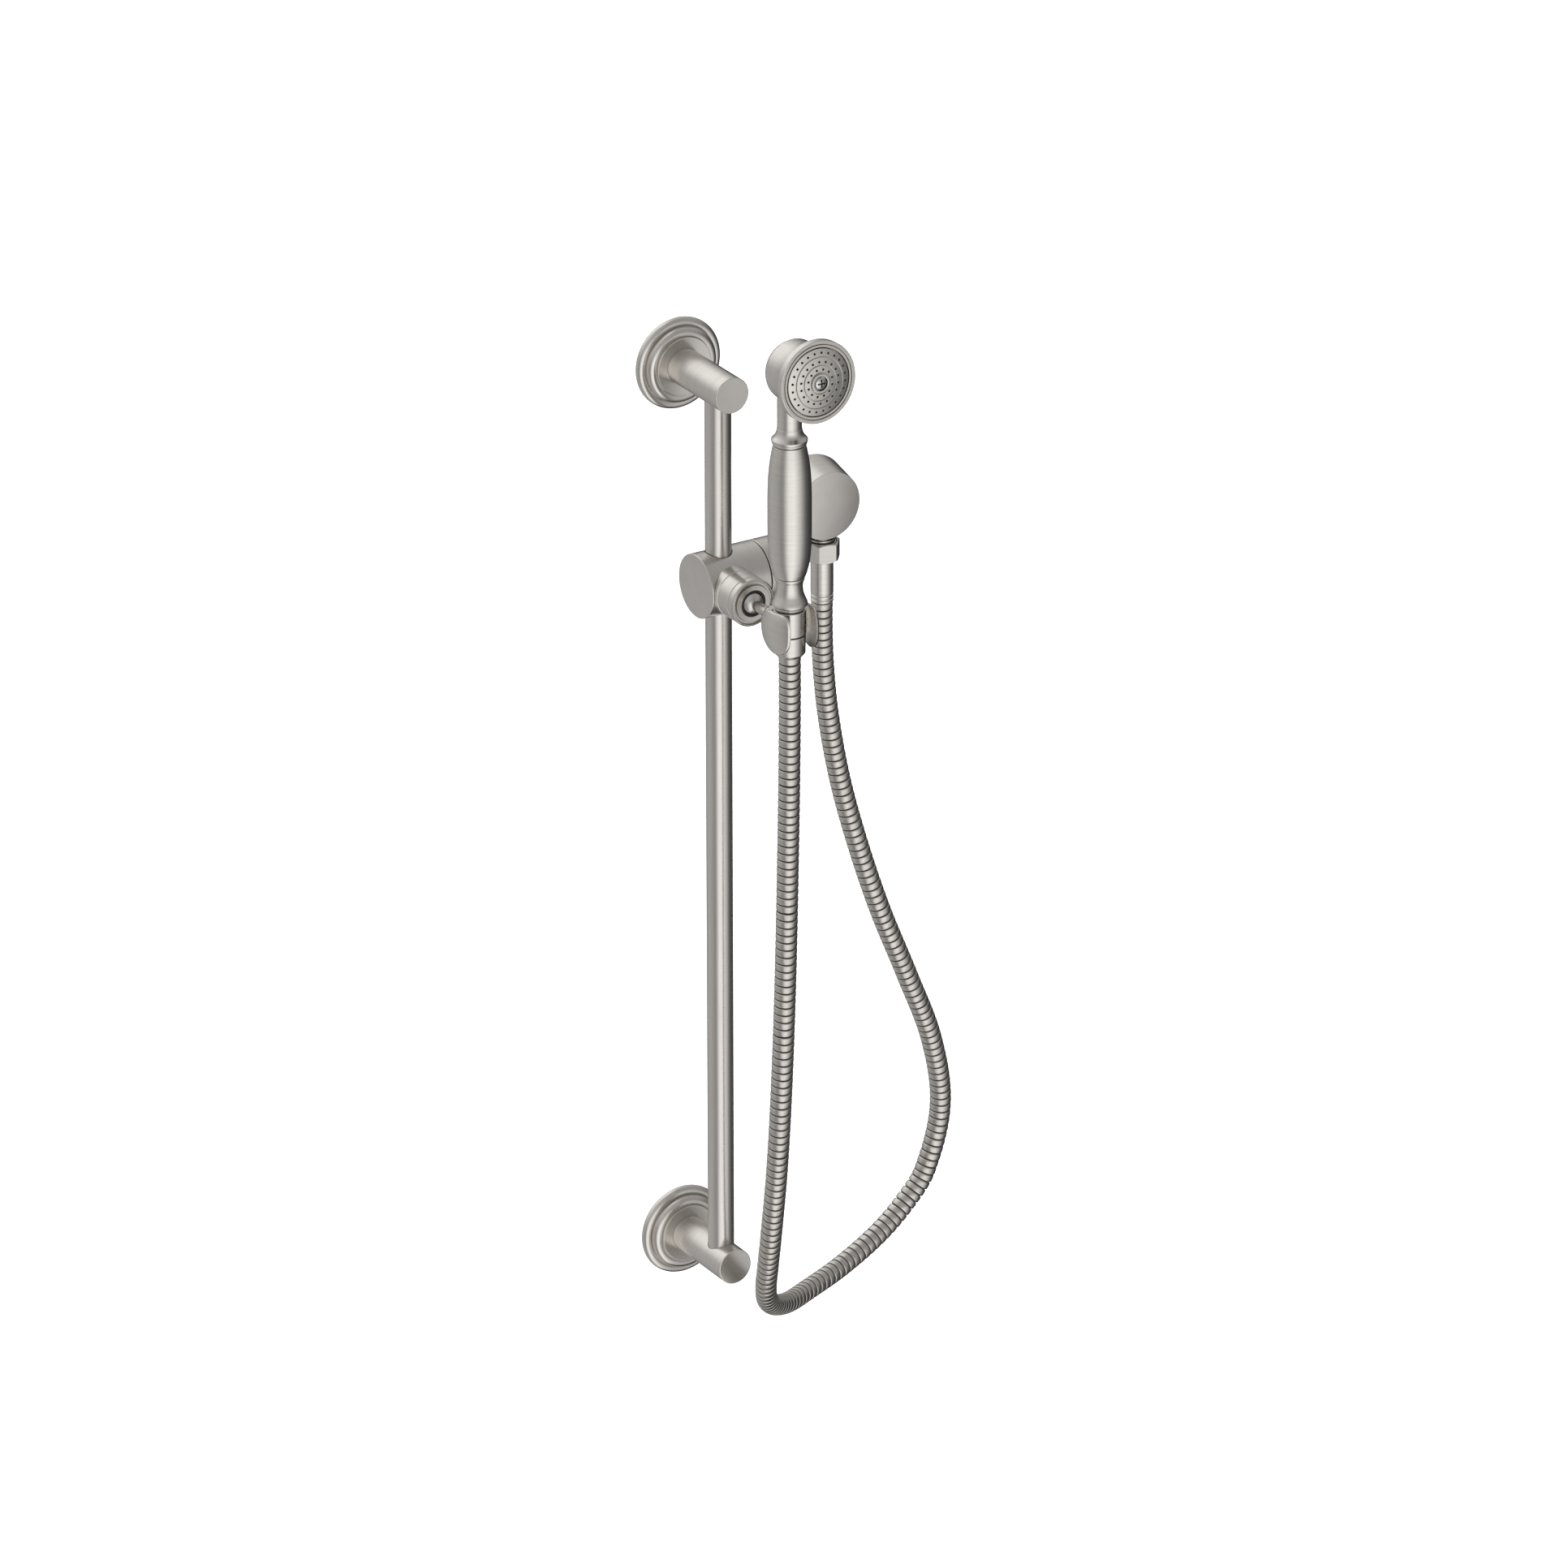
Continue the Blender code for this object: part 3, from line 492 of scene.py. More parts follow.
def hose():
    """The whole hose as six lengths, each between the two bodies of the joint that it crosses."""
    path = smooth_path(HOSE_ROUTE, 3.0)
    along = np.concatenate([[0], np.cumsum(np.linalg.norm(np.diff(path, axis=0), axis=1))])
    cuts = hose_cuts(path, along)
    for (node, _, before, after), first, last in zip(HOSE_LENGTHS, cuts, cuts[1:]):
        first += GAP if first else 0
        mesh, line = strip_mesh(node + "_strip", path, along, first, last)
        piece = place(node + "_strip", mesh, hose_metal, (0, 0, 0))
        # the second material: painted shade for the grooves
        mesh.materials.append(painted_groove_shade)
        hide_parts(node)
        start, end = Vector(line[0]), Vector(line[-1])
        if before == "root":
            end = start + LOOP_SPREAD
        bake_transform(piece)


# ---------------------------------------------------------------- rail, posts and flanges


def rail():
    """Straight tube between the posts."""
    long = length_of("rail_tube")
    outline = rounded([(8.0, 0), (9.525, 0, 0.3), (9.525, long, 0.3), (8.0, long)])
    stands_for(turned("rail_tube_fine", outline, nickel_rail, RAIL_AT), "root", "rail_tube")


def post(where, rail_side):
    """Round bar with sockets for the wall spigot, the rail's end and the grub screw.

    rail_side is -1 where the rail runs down from the post, and 1 where it runs up.
    """
    node = f"{where}_post"
    at = seat(node, FRONT)
    long = length_of(node, FRONT)
    outline = rounded([(0, 25.7), (8.85, 25.7), (8.85, 0), (13.4, 0, 0.3), (13.4, long, 0.6), (0, long)])
    body = turned(node + "_fine", outline, nickel_y, at, FRONT)
    socket_at = (RAIL_AT.x, RAIL_AT.y, at.z)
    low, high = (-20, 5) if rail_side < 0 else (-5, 20)
    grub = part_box(f"{where}_grub_screw")
    grub_at = ((grub[0].x + grub[1].x) / 2, (grub[0].y + grub[1].y) / 2, at.z)
    carve(body, "DIFFERENCE", bore(9.72, low, high, socket_at), bore(2.3, -16, -7, grub_at, steps=32))
    stands_for(body, "root", node)


def flange(where):
    """Stepped cover: a half-round lip at the wall, a second roll, and a slightly dished disc."""
    node = f"{where}_flange"
    at = seat(node, FRONT)
    at.y = WALL_Y
    lip = arc(30.5, 3.8, 3.7, -75, 112, 18)
    roll = arc(23.9, 8.1, 4.25, -18, 82, 14)
    disc = rounded([(22.4, 12.2), (21.85, 11.9), (21.8, 13.5, 0.3), (13.45, 12.6, 0.1), (13.45, 11.5)])
    inside = rounded([(20.0, 11.5), (25.2, 7.4), (27.0, 4.6), (29.0, 0.25)])
    outline = lip + roll + disc + inside
    stands_for(turned(node + "_fine", outline, nickel_y, at, FRONT), "root", node)


# ---------------------------------------------------------------- supply elbow and the hose's wall end


def elbow():
    """Tapered round body with a gently domed front, tapped underneath for the hose's nipple."""
    edge, depth, dome = 25.7, 27.9, 1.8
    bulge = (edge**2 + dome**2) / (2 * dome)
    radii = [edge * share for share in (0.95, 0.85, 0.7, 0.55, 0.4, 0.25, 0.1, 0.0)]
    front = [(radius, depth + dome - bulge + math.sqrt(bulge**2 - radius**2)) for radius in radii]
    outline = rounded([(0, 0.2), (30.2, 0.2, 0.2), (edge, depth, 0.35)] + front)
    body = turned("elbow_body_fine", outline, nickel_y, ELBOW_AT, FRONT, 160)
    outline = [(9.2, -170), (16.5, -170), (16.5, -153.4), (9.2, -153.4)]
    spot_face = turned("bore", outline, None, OUTLET_AXIS, UP, 64)
    carve(
        body, "DIFFERENCE", bore(9.6, -1, 15, ELBOW_AT, FRONT), bore(9.3, -170, -141, OUTLET_AXIS),
        bore(7.0, -142, -122, OUTLET_AXIS), spot_face,
    )
    stands_for(body, "root", "elbow_body")


def outlet_nipple():
    """Threaded tube under the elbow, with two grooves above the nut that are painted dark with shade."""
    outline = [
        (7.7, -164.0), (10.2, -164.0, 0.3), (10.2, -155.4, 0.3), (9.0, -155.0), (9.0, -141.3), (7.7, -141.3),
    ]
    nipple = turned("outlet_nipple_fine", rounded(outline), nickel_z, OUTLET_AXIS)
    grooves = []
    # the grooves' faces take the painted shade
    for low, high in ((-155.9, -154.3), (-153.2, -151.6)):
        outline = [(8.2, low), (9.6, low), (9.6, high), (8.2, high)]
        grooves.append(turned("groove", outline, painted_groove_shade, OUTLET_AXIS, UP, 64))
    carve(nipple, "DIFFERENCE", *grooves)
    stands_for(nipple, "root", "outlet_nipple")


def valve_spring():
    """Wire coil under the valve's poppet."""
    low, high, coil_radius, wire_radius = -160.2, -149.4, 3.6, 0.4
    turns, steps, sides = 4, 32, 10
    bm = bmesh.new()
    rings = []
    for k in range(turns * steps + 1):
        a = 2 * math.pi * k / steps
        ring = []
        for side in range(sides):
            b = 2 * math.pi * side / sides
            out = coil_radius + wire_radius * math.cos(b)
            height = high + (low - high) * k / (turns * steps) + wire_radius * math.sin(b)
            spot = Vector((out * math.cos(a), out * math.sin(a), height)) * MM
            ring.append(bm.verts.new(OUTLET_AXIS + spot))
        rings.append(ring)
    for one, two in zip(rings, rings[1:]):
        band(bm, one, two)
    bm.faces.new(rings[0])
    bm.faces.new(rings[-1])
    spring = place("valve_spring_fine", meshed(bm, "valve_spring_fine", 50), steel, (0, 0, 0))
    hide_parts("valve_spring")
    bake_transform(spring)


def hex_radius(flats, turn, corner):
    """How far out a hexagon's side lies in a direction, with its corners cut off at the given radius."""
    across = (turn + math.pi / 6) % (math.pi / 3) - math.pi / 6
    return min(flats / math.cos(across), corner)


def hex_nut():
    """Six-sided nut whose corners are taken off by a cone at both ends, hollow for the nipple's thread."""
    low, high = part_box("hose_hex_nut")
    tall = (high.z - low.z) / MM
    flats, corner, cone_foot, cone_slope = 12.0, 13.6, 11.8, 0.6
    bm = bmesh.new()
    count = 144
    twist = math.radians(20)
    columns = []
    for k in range(count):
        turn = 2 * math.pi * k / count
        out = hex_radius(flats, turn, corner)
        drop = (out - cone_foot) * cone_slope + 0.05
        outline = [
            (8.5, 0), (cone_foot, 0), (out, drop), (out, tall - drop), (cone_foot, tall), (10.7, tall),
            (10.7, 1.4), (8.5, 1.4),
        ]
        angle = turn + twist
        spots = [Vector((r * math.cos(angle), r * math.sin(angle), h)) * MM for r, h in outline]
        columns.append([bm.verts.new(spot) for spot in spots])
    for one, two in zip(columns, columns[1:] + columns[:1]):
        band(bm, one, two)
    mesh = meshed(bm, "hose_hex_nut_fine", 20)
    nut = place("hose_hex_nut_fine", mesh, nickel_z, (OUTLET_AT.x, OUTLET_AT.y, low.z))
    stands_for(nut, "root", "hose_hex_nut")


def ferrule():
    """Sleeve crimped onto the hose by two rings near its lower end."""
    long = length_of("hose_ferrule")
    outline = [(6.0, long), (10.2, long), (10.2, long - 1.5), (8.3, long - 1.5)]
    for middle in (5.8, 2.6):
        outline += [
            (8.3, middle + 0.8, 0.2), (7.75, middle + 0.4, 0.15), (7.75, middle - 0.4, 0.15),
            (8.3, middle - 0.8, 0.2),
        ]
    outline += [(8.3, 0, 0.35), (6.0, 0)]
    stands_for(turned("hose_ferrule_fine", rounded(outline), nickel_z, OUTLET_AT), "root", "hose_ferrule")


# ---------------------------------------------------------------- slider


def slider_barrel():
    """Round bar across the rail, bored for the rail, the clamp pad and the ball's housing."""
    at = seat("slider_barrel", RIGHT)
    long = length_of("slider_barrel", RIGHT)
    outline = rounded([(0, 0), (23.6, 0, 0.6), (23.6, long, 0.45), (0, long)])
    body = turned("slider_barrel_fine", outline, nickel_x, at, RIGHT, 160)
    outline = [(0, -30), (10.1, -30), (10.1, -19), (12.5, -19), (12.5, 19), (10.1, 19), (10.1, 30), (0, 30)]
    rail_bore = turned("bore", outline, None, SLIDER_AT, UP, 96, TWIST)
    outline = [(0, 3), (6.4, 3), (6.4, 18), (4.3, 18), (4.3, 33), (0, 33)]
    pad_bore = turned("bore", outline, None, SLIDER_AT, RIGHT, 48, 1.5 * TWIST)
    carve(body, "DIFFERENCE", rail_bore, pad_bore, bore(9.3, 71.5, 90, SOCKET_AT, FRONT))
    stands_for(body, "slider", "slider_barrel")


def lock_knob():
    """The barrel's right-hand end, which turns to clamp the rail."""
    at = seat("lock_knob", RIGHT)
    long = length_of("lock_knob", RIGHT)
    outline = rounded([
        (4.2, 1.5), (18.0, 1.5), (18.0, 0), (23.6, 0, 0.45), (23.6, long, 0.6), (0, long), (0, long - 4),
        (4.2, long - 4),
    ])
    stands_for(turned("lock_knob_fine", outline, nickel_x, at, RIGHT, 160), "lock_knob", "lock_knob")


def socket_housing():
    """Boss on the barrel's front that holds the ball, and the ring that closes it."""
    outline = rounded([
        (0, 73.0), (9.0, 73.0), (9.0, 76.0), (17.7, 76.0), (17.7, 84.9), (17.25, 85.25, 0.15),
        (17.25, 85.9, 0.15), (17.7, 86.25), (17.7, 99.1, 0.35), (12.2, 99.2), (12.2, 88.5), (0, 88.5),
    ])
    body = turned("socket_housing_fine", outline, nickel_y, SOCKET_AT, FRONT)
    outline = [(0, -40), (23.9, -40), (23.9, 40), (0, 40)]
    saddle = turned("bore", outline, None, SLIDER_AT, RIGHT, 160, TWIST)
    carve(body, "DIFFERENCE", saddle)
    stands_for(body, "slider", "socket_housing")
    ring = rounded([
        (10.6, 99.55), (17.7, 99.55, 0.3), (17.7, 104.2, 0.8), (16.2, 105.9, 0.35), (15.6, 103.6, 0.1),
        (14.1, 103.6, 0.1), (13.6, 106.0, 0.35), (9.9, 106.0, 0.5), (9.6, 104.4), (10.6, 103.4),
    ])
    stands_for(turned("socket_ring_fine", ring, nickel_y, SOCKET_AT, FRONT), "slider", "socket_ring")


BALL_OUT = 101.5  # from the wall to the ball's middle
BALL_RADIUS = 8.8


def ball_joint():
    """The seat in the housing, the ball in it, and the stud from the ball to the cradle."""
    hollow = arc(0, BALL_OUT, BALL_RADIUS + 0.3, 24, -90, 16)
    hollow[-1] = Vector((0, BALL_OUT - BALL_RADIUS - 0.3))
    lip = hollow[0]
    outline = hollow + [(0, 89.0), (9.9, 89.0), (9.9, lip.y), (9.3, lip.y + 0.3)]
    cup = turned("ball_seat_fine", outline, rubber, SOCKET_AT, FRONT)
    stands_for(cup, "slider", "ball_seat", slot="seal_rubber")
    sphere = arc(0, BALL_OUT, BALL_RADIUS, -90, 90, 32)
    sphere[0] = Vector((0, BALL_OUT - BALL_RADIUS))
    sphere[-1] = Vector((0, BALL_OUT + BALL_RADIUS))
    stands_for(turned("ball_fine", sphere, nickel_y, SOCKET_AT, FRONT, 96), "ball", "ball")
    at = seat("ball_stud", FRONT)
    long = length_of("ball_stud", FRONT)
    stud = rounded([(0, 0), (3.9, 0), (3.9, long, 0.3), (0, long)])
    stands_for(turned("ball_stud_fine", stud, nickel_y, at, FRONT, 64), "stud", "ball_stud")


# ---------------------------------------------------------------- cradle

# Seen from above, the ears' outer faces lie on an ellipse round the handshower's axis
EAR_HALF_WIDTH = 18.3
EAR_HALF_DEPTH = 28.0
EAR_BOW = 130.0  # and they lean in by their height squared over this
EAR_THICKNESS = 3.0
# An ear's outline seen from the side: (towards the wall, up) from its centre
EAR_OUTLINE = [
    (-14.5, 14.6), (-5, 15.2), (6, 13.6), (12.5, 8.5), (15.3, 1), (12.5, -8), (5, -14), (-4, -16.6),
    (-12, -14.2), (-17.5, -8), (-19, 0), (-18.2, 9),
]
EAR_HEIGHT = -147.5
COLLAR_MOUTH = 190.0  # degrees, open at the front


def closed_curve(points, steps):
    """A smooth loop through the points."""
    loop = [Vector((*p, 0)) for p in points]
    path = []
    for k in range(len(loop)):
        before, here, there, after = (loop[(k + j) % len(loop)] for j in (-1, 0, 1, 2))
        path += geometry.interpolate_bezier(
            here, here + (there - before) / 6, there - (after - here) / 6, there, steps + 1
        )[:-1]
    return path


def ear_mesh(side):
    """A leaf-shaped plate bent round the handshower's tail, with its outer rim rolled over."""
    bm = bmesh.new()
    outline = closed_curve(EAR_OUTLINE, 8)
    roll = [(0.0, 1.0), (0.25, 0.35), (0.6, 0.08), (1.0, 0.0)]  # (inwards, sunk) from the rim
    outer = [(1.0, 0.0, inward, sunk + 0.9) for inward, sunk in roll]
    outer += [(scale, 0.0, 1.0, sunk) for scale, sunk in ((0.85, 0.5), (0.7, 0.26), (0.5, 0.08), (0.3, 0.0))]
    inner = [(1.0, EAR_THICKNESS, 0.0, -0.3), (1.0, EAR_THICKNESS, 0.4, 0.0)]
    inner += [(scale, EAR_THICKNESS, 1.0, 0.0) for scale in (0.8, 0.55, 0.3)]

    def ring(scale, inset, inward, sunk):
        """The outline scaled, drawn in from its rim, and set in and sunk below the ear's outer face."""
        verts = []
        for p in outline:
            flat = Vector((p.x, p.y))
            flat = flat * scale - flat.normalized() * inward
            round_axis = EAR_HALF_WIDTH * math.sqrt(1 - (flat.x / EAR_HALF_DEPTH) ** 2)
            out = round_axis - flat.y**2 / EAR_BOW - inset - sunk
            verts.append(bm.verts.new((side * out * MM, flat.x * MM, flat.y * MM)))
        return verts

    shells = [[ring(*row) for row in rows] for rows in (outer, inner)]
    for rings in shells:
        for one, two in zip(rings, rings[1:]):
            band(bm, one, two)
        bm.faces.new(rings[-1])
    band(bm, shells[0][0], shells[1][0])
    return meshed(bm, "ear", 40)


def collar_mesh():
    """The C-shaped collar round the tail nut, open at the front."""
    bm = bmesh.new()
    profile = rounded([(12.6, -156.0, 0.4), (16.3, -156.0, 0.6), (16.3, -136.0, 0.6), (12.6, -136.0, 0.4)])
    first = -90 + COLLAR_MOUTH / 2
    sections = []
    for k in range(STEPS + 1):
        a = math.radians(first + (360 - COLLAR_MOUTH) * k / STEPS)
        spots = [(r * math.cos(a) * MM, r * math.sin(a) * MM, h * MM) for r, h in profile]
        sections.append([bm.verts.new(spot) for spot in spots])
    for one, two in zip(sections, sections[1:]):
        band(bm, one, two)
    bm.faces.new(sections[0])
    bm.faces.new(sections[-1])
    return meshed(bm, "cradle_fine")


def cradle():
    """Collar, hub and two ears in one casting."""
    body = place("cradle_fine", collar_mesh(), nickel_z, HANDSET_AXIS)
    outline = rounded([(0, 128.0), (6.6, 128.0, 1.2), (8.0, 131.0, 1.5), (8.0, 140.6), (0, 140.6)])
    hub = turned("hub", outline, None, SOCKET_AT, FRONT, 96)
    ears_at = HANDSET_AXIS + Vector((0, 0, EAR_HEIGHT * MM))
    ears = [place("ear", ear_mesh(side), None, ears_at) for side in (-1, 1)]
    carve(body, "UNION", hub, *ears)
    carve(body, "DIFFERENCE", bore(4.15, 120, 135.4, SOCKET_AT, FRONT))
    stands_for(body, "cradle", "cradle")


# ---------------------------------------------------------------- handshower


def on_handset(node, outline, body="handset"):
    """A node turned about the handshower's own axis, with its heights measured from z = 0."""
    stands_for(turned(node + "_fine", outline, nickel_z, HANDSET_AXIS), body, node)


def tail():
    """What the cradle holds: the hose's swivel sleeve, the nut on it and the fitting inside the nut."""
    on_handset("hose_swivel_sleeve", rounded([
        (7.9, -169.0), (9.3, -169.0, 0.4), (11.15, -166.8, 1.2), (11.3, -153.2, 0.4), (6.0, -153.2),
        (6.0, -156.7), (7.9, -156.7),
    ]), "hose_end")
    on_handset("tail_nut", rounded([
        (8.9, -149.2), (6.5, -149.2), (6.5, -152.3), (11.4, -152.3, 0.3), (11.65, -134.0, 0.45),
        (8.9, -134.0),
    ]))
    on_handset("tail_fitting", rounded([
        (6.6, -144.4), (8.5, -144.4), (8.5, -133.6), (10.3, -133.6, 0.5), (10.8, -132.35, 0.6),
        (10.3, -131.2, 0.5), (8.2, -131.2), (8.2, -110.0), (6.6, -110.0),
    ]))


def handle():
    """The waisted lower collar, the long swelling grip and the collar under the head."""
    waist = flowing([
        (12.0, -130.9), (12.75, -129.9), (12.6, -128.6), (11.4, -125.6), (10.0, -121.8), (9.35, -117.8),
        (9.45, -114.6), (10.0, -112.2), (10.55, -111.2),
    ])
    on_handset("lower_collar", rounded(waist + [(10.7, -109.3, 0.3), (8.5, -109.3), (8.5, -130.9)]))
    grip = flowing([
        (12.2, -106.0), (13.9, -99.0), (15.0, -90.0), (15.5, -79.0), (15.6, -60.0),
        (15.5, -44.0), (14.9, -31.0), (13.6, -20.0), (12.3, -12.6),
    ])
    lip = [(11.95, -10.9, 0.3), (11.95, -9.6, 0.3)]
    inside = [
        (9.4, -9.6), (9.4, -16.0), (11.4, -24.0), (12.6, -60.0), (11.4, -96.0), (8.6, -104.0), (8.6, -108.8),
    ]
    on_handset("grip_sleeve", rounded([(11.1, -108.8, 0.4)] + grip + lip + inside))
    crown = [
        (8.95, -9.1), (12.0, -9.1, 0.4), (12.4, -8.2, 0.5), (12.15, -7.4, 0.3), (12.9, -6.6, 0.5),
        (12.9, -5.2, 0.6),
    ]
    cove = flowing([(12.2, -4.4), (10.6, -2.6), (9.5, -0.2), (8.85, 2.9)])
    on_handset("upper_collar", rounded(crown + cove + [(8.75, 3.0)]))


NECK_RADIUS = 8.73
NECK_TOP = 36.0  # where the neck's domed end starts, inside the cup


def head():
    """Cup and neck in one casting, with the rim that the spray plate sits in."""
    back = flowing([(0, -41.3), (9.0, -40.9), (15.2, -39.8)])
    shoulder = [(20.5, -37.4, 3.0), (22.3, -33.8, 3.0), (22.5, -23.0, 1.0)]
    flare = flowing([(22.7, -19.0), (24.0, -11.6), (26.2, -8.0), (28.4, -6.2)])
    rim = [
        (30.1, -5.4, 0.7), (30.1, 0.0, 0.5), (27.5, 0.0, 0.25), (27.2, -1.7, 0.1), (26.8, -0.1, 0.2),
        (25.2, -0.1, 0.2), (25.0, -3.0), (0, -3.0),
    ]
    cup = turned("head_casting_fine", rounded(back + shoulder + flare + rim), nickel_z, FACE_AT, FACE, 160)
    dome = arc(0, NECK_TOP, NECK_RADIUS, 0, 90, 16)
    dome[-1] = Vector((0, NECK_TOP + NECK_RADIUS))
    neck = turned("neck", [(0, -9.0), (NECK_RADIUS, -9.0)] + dome, None, HANDSET_AXIS)
    carve(cup, "UNION", neck)
    outline = [
        (0, -1.0), (24.3, -1.0), (24.3, -6.0), (20.6, -14.0), (19.6, -26.0), (14.0, -32.0), (0, -32.5),
    ]
    chamber = turned("chamber", outline, None, FACE_AT, FACE, 96)
    carve(cup, "DIFFERENCE", chamber, bore(6.6, -12, 40, HANDSET_AXIS))
    stands_for(cup, "handset", "head_casting")


NOZZLE_RINGS = [(21.4, 24), (15.2, 18), (9.9, 12)]  # (radius, how many)
PLATE_GROOVES = [18.7, 12.9, 7.65]
# A groove's section: (aside from its middle, sunk)
GROOVE_SECTION = [(0.5, 0), (0.34, 0.15), (0.22, 0.8), (-0.22, 0.8), (-0.34, 0.15), (-0.5, 0)]
PLATE_RADIUS = 24.5
PLATE_DOME = 3.0
PLATE_FALL = 3.2  # from the middle to the edge


def plate_height(radius):
    """The spray plate's dome above the rim."""
    return PLATE_DOME - PLATE_FALL * (radius / PLATE_RADIUS) ** 2


def nozzle_drills():
    """One tool that cuts every nozzle, each leaning with the plate's dome, and leaves painted shade on the
    holes' walls.
    """
    drills = bmesh.new()
    outline = [(0, 1.6), (1.0, 1.0), (1.0, 0.2), (0.7, -0.5), (0.6, -4.0), (0, -4.0)]
    for radius, count in NOZZLE_RINGS:
        lean = math.atan(2 * PLATE_FALL * radius / PLATE_RADIUS**2)
        spot = Vector((radius, 0, plate_height(radius))) * MM
        for k in range(count):
            a = 2 * math.pi * (k + 0.5) / count
            mesh = turned_mesh("drill", outline, 16)
            mesh.transform(
                Matrix.Rotation(a, 4, "Z") @ Matrix.Translation(spot) @ Matrix.Rotation(lean, 4, "Y")
            )
            drills.from_mesh(mesh)
            bpy.data.meshes.remove(mesh)
    return place("drills", raw_mesh(drills, "drills"), painted_groove_shade, FACE_AT, FACE)


def spray_plate():
    """Domed plate with three ring grooves and a boss round its screw."""
    radii = np.linspace(24.0, 7.9, 40)
    radii = [r for r in radii if min(abs(r - groove) for groove in PLATE_GROOVES) > 0.6]
    spots = [(r, plate_height(r)) for r in radii]
    for groove in PLATE_GROOVES:
        for aside, sunk in GROOVE_SECTION:
            spots.append((groove + aside, plate_height(groove + aside) - sunk))
    spots.sort(reverse=True)
    edge = [(24.6, -2.6), (24.6, -0.75), (24.3, plate_height(24.3))]
    boss = [(7.2, 2.9), (7.1, 3.9, 0.5), (5.3, 3.9, 0.4), (4.9, 1.4), (2.2, 1.4), (2.2, -0.6)]
    underside = [(9.0, -0.8), (16.0, -1.6), (22.0, -3.0)]
    outline = rounded(edge + spots + boss + underside)
    plate = turned("spray_plate_fine", outline, nickel_z, FACE_AT, FACE)
    carve(plate, "DIFFERENCE", nozzle_drills())
    stands_for(plate, "handset", "spray_plate")


def face_screw():
    """Cross-head screw in the middle of the plate, with painted shade in its cross recess."""
    crown = flowing([(3.9, 3.6), (2, 4.2), (0, 4.4)])
    outline = rounded([(0, -16.0), (1.6, -16.0), (1.6, 1.7), (4.5, 1.7), (4.5, 3.0, 0.3)] + crown)
    screw = turned("face_screw_fine", outline, steel, FACE_AT, FACE, 64)
    slots = []
    for wide, tall in ((6.0, 1.2), (1.2, 6.0)):
        bm = bmesh.new()
        bmesh.ops.create_cube(bm, size=MM)
        mesh = raw_mesh(bm, "slot")
        mesh.transform(Matrix.Translation((0, 0, 4.2 * MM)) @ Matrix.Diagonal((wide, tall, 3.0, 1)))
        # each slot leaves painted shade in the cross recess
        slots.append(place("slot", mesh, painted_groove_shade, FACE_AT, FACE))
    carve(screw, "DIFFERENCE", *slots)
    stands_for(screw, "handset", "face_screw", slot="screw_steel")


# ---------------------------------------------------------------- what stays CAD


def carried_over():
    """CAD nodes that stay get the detailed materials."""
    looks = {
        "raw_brass": brass, "screw_steel": steel, "seal_rubber": rubber, "moulded_plastic": white_plastic,
        "brushed_nickel": nickel_y,
    }
    slots = {row["node"]: row["material_slot"] for row in frame["record"]["subparts"]}
    for name, node in frame["nodes"].items():
        if not node.hide_render:
            node.data.materials.clear()
            node.data.materials.append(looks[slots[name]])


# ---------------------------------------------------------------- studio


LIGHT_ROUND = [
    (-180, 0.05), (-163, 0.30), (-140, 0.44), (-105, 0.58), (-62, 0.50), (-42, 0.33), (-28, 0.45), (-8, 1.30),
    (25, 1.45), (45, 1.02), (62, 0.72), (80, 0.30), (95, 0.14), (125, 0.05), (180, 0.03),
]
# The same for what lies above
LIGHT_ABOVE = [
    (-180, 0.70), (-160, 1.20), (-125, 1.30), (-90, 0.90), (-45, 0.62), (0, 0.52), (60, 0.42), (110, 0.46),
    (150, 0.55), (180, 0.70),
]
LIGHT_SCALE = 2.0  # a ramp holds levels up to 1, so they are divided by this in it


def level_ramp(tree, angle, stops):
    node = tree.nodes.new("ShaderNodeValToRGB")
    ramp = node.color_ramp
    while len(ramp.elements) > 1:
        ramp.elements.remove(ramp.elements[-1])
    for k, (degrees, level) in enumerate(stops):
        spot = (degrees + 180) / 360
        stop = ramp.elements.new(spot) if k else ramp.elements[0]
        stop.position = spot
        stop.color = (level / LIGHT_SCALE, level / LIGHT_SCALE, level / LIGHT_SCALE, 1)
    tree.links.new(angle, node.inputs["Fac"])
    return node.outputs["Color"]


def surround(tree):
    """Light level in every direction: one ramp for level and below, blended into another for above."""
    link = tree.links.new
    direction = tree.nodes.new("ShaderNodeTexCoord").outputs["Generated"]
    turn = tree.nodes.new("ShaderNodeMapping")
    turn.vector_type = "POINT"
    turn.inputs["Rotation"].default_value = (0, 0, math.radians(90) - CAMERA_AZIMUTH)
    link(direction, turn.inputs["Vector"])
    gradient = tree.nodes.new("ShaderNodeTexGradient")
    gradient.gradient_type = "RADIAL"
    link(turn.outputs["Vector"], gradient.inputs["Vector"])
    split = tree.nodes.new("ShaderNodeSeparateXYZ")
    link(direction, split.inputs["Vector"])
    height = tree.nodes.new("ShaderNodeMapRange")
    height.interpolation_type = "SMOOTHSTEP"
    height.inputs["From Min"].default_value = -0.1
    height.inputs["From Max"].default_value = 0.5
    link(split.outputs["Z"], height.inputs["Value"])
    mix = tree.nodes.new("ShaderNodeMix")
    mix.data_type = "RGBA"
    link(height.outputs["Result"], mix.inputs["Factor"])
    link(level_ramp(tree, gradient.outputs["Fac"], LIGHT_ROUND), mix.inputs["A"])
    link(level_ramp(tree, gradient.outputs["Fac"], LIGHT_ABOVE), mix.inputs["B"])
    return mix.outputs["Result"]


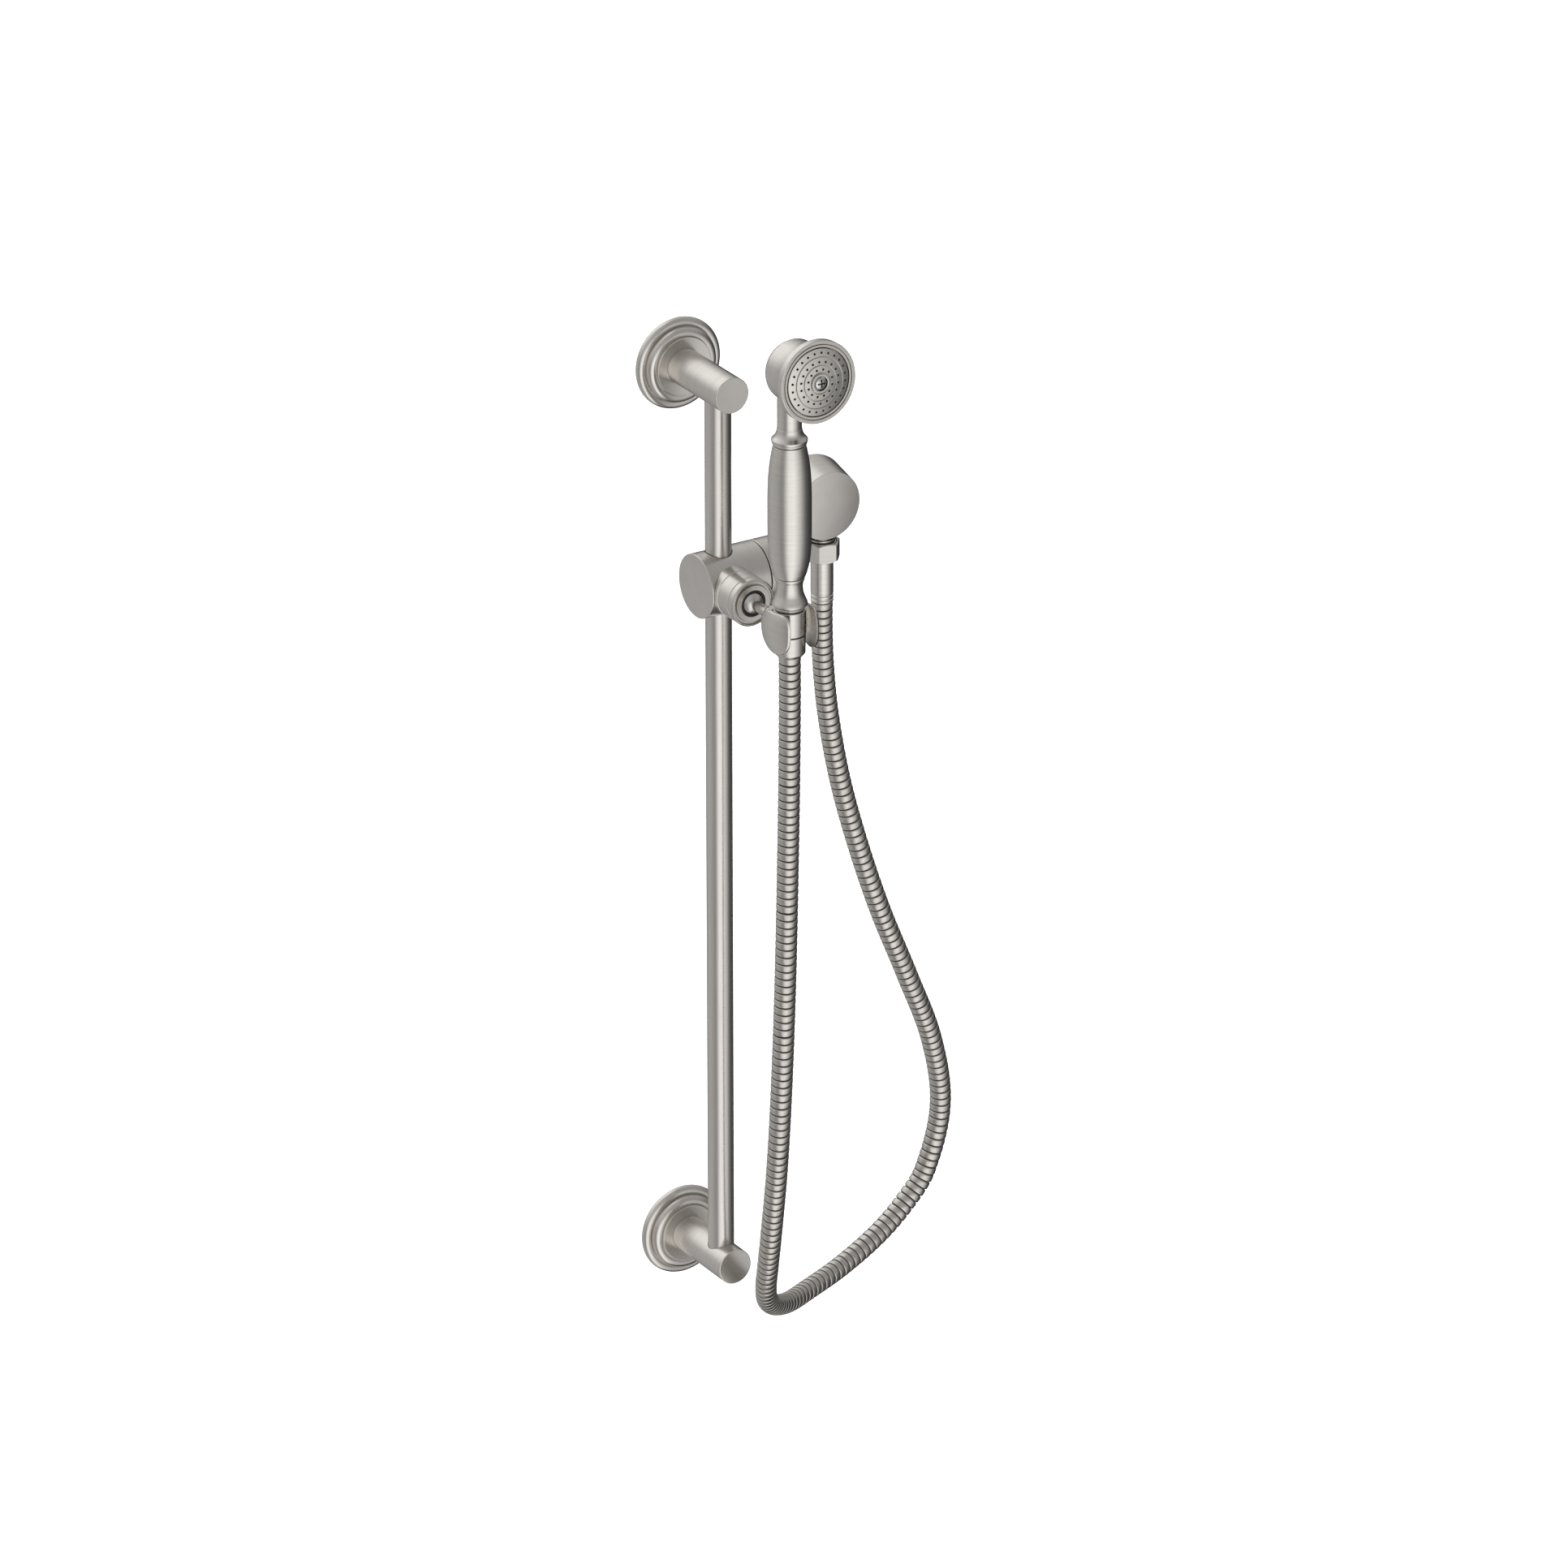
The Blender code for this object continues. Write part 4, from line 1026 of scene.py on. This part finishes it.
def studio():
    """A soft surround, brightest in front, which the camera itself sees as plain white."""
    world = bpy.data.worlds.new("studio")
    bpy.context.scene.world = world
    world.use_nodes = True
    tree = world.node_tree
    tree.nodes.clear()
    link = tree.links.new
    light = tree.nodes.new("ShaderNodeBackground")
    light.inputs["Strength"].default_value = LIGHT_SCALE
    link(surround(tree), light.inputs["Color"])
    plain = tree.nodes.new("ShaderNodeBackground")
    plain.inputs["Color"].default_value = (1, 1, 1, 1)
    seen = tree.nodes.new("ShaderNodeLightPath")
    choose = tree.nodes.new("ShaderNodeMixShader")
    link(seen.outputs["Is Camera Ray"], choose.inputs["Fac"])
    link(light.outputs["Background"], choose.inputs[1])
    link(plain.outputs["Background"], choose.inputs[2])
    out = tree.nodes.new("ShaderNodeOutputWorld")
    link(choose.outputs["Shader"], out.inputs["Surface"])


FLOOR_RADIUS = 60.0  # metres, like its height
FLOOR_HEIGHT = -2.2


def floor():
    bm = bmesh.new()
    bmesh.ops.create_circle(bm, cap_ends=True, segments=64, radius=FLOOR_RADIUS)
    mat, _ = surface("pale_floor", (0.9, 0.9, 0.9), 0.9, 0.0)
    piece = place("floor", raw_mesh(bm, "floor"), mat, (0, 0, FLOOR_HEIGHT))
    piece.visible_glossy = False


def overhead_light():
    """Soft light from above, which leaves no highlight of its own."""
    data = bpy.data.lights.new("overhead", "SUN")
    data.energy = 3.4
    data.angle = math.radians(40)
    lamp = bpy.data.objects.new("overhead", data)
    lamp.rotation_euler = (math.radians(12), math.radians(-10), 0)
    lamp.visible_glossy = False
    bpy.context.scene.collection.objects.link(lamp)


# ---------------------------------------------------------------- the whole kit

camera()
hose()
rail()
for where, rail_side in (("upper", -1), ("lower", 1)):
    post(where, rail_side)
    flange(where)
elbow()
outlet_nipple()
valve_spring()
hex_nut()
ferrule()
slider_barrel()
lock_knob()
socket_housing()
ball_joint()
cradle()
tail()
handle()
head()
spray_plate()
face_screw()
carried_over()
studio()
floor()
overhead_light()
bpy.context.scene.view_settings.view_transform = "Standard"
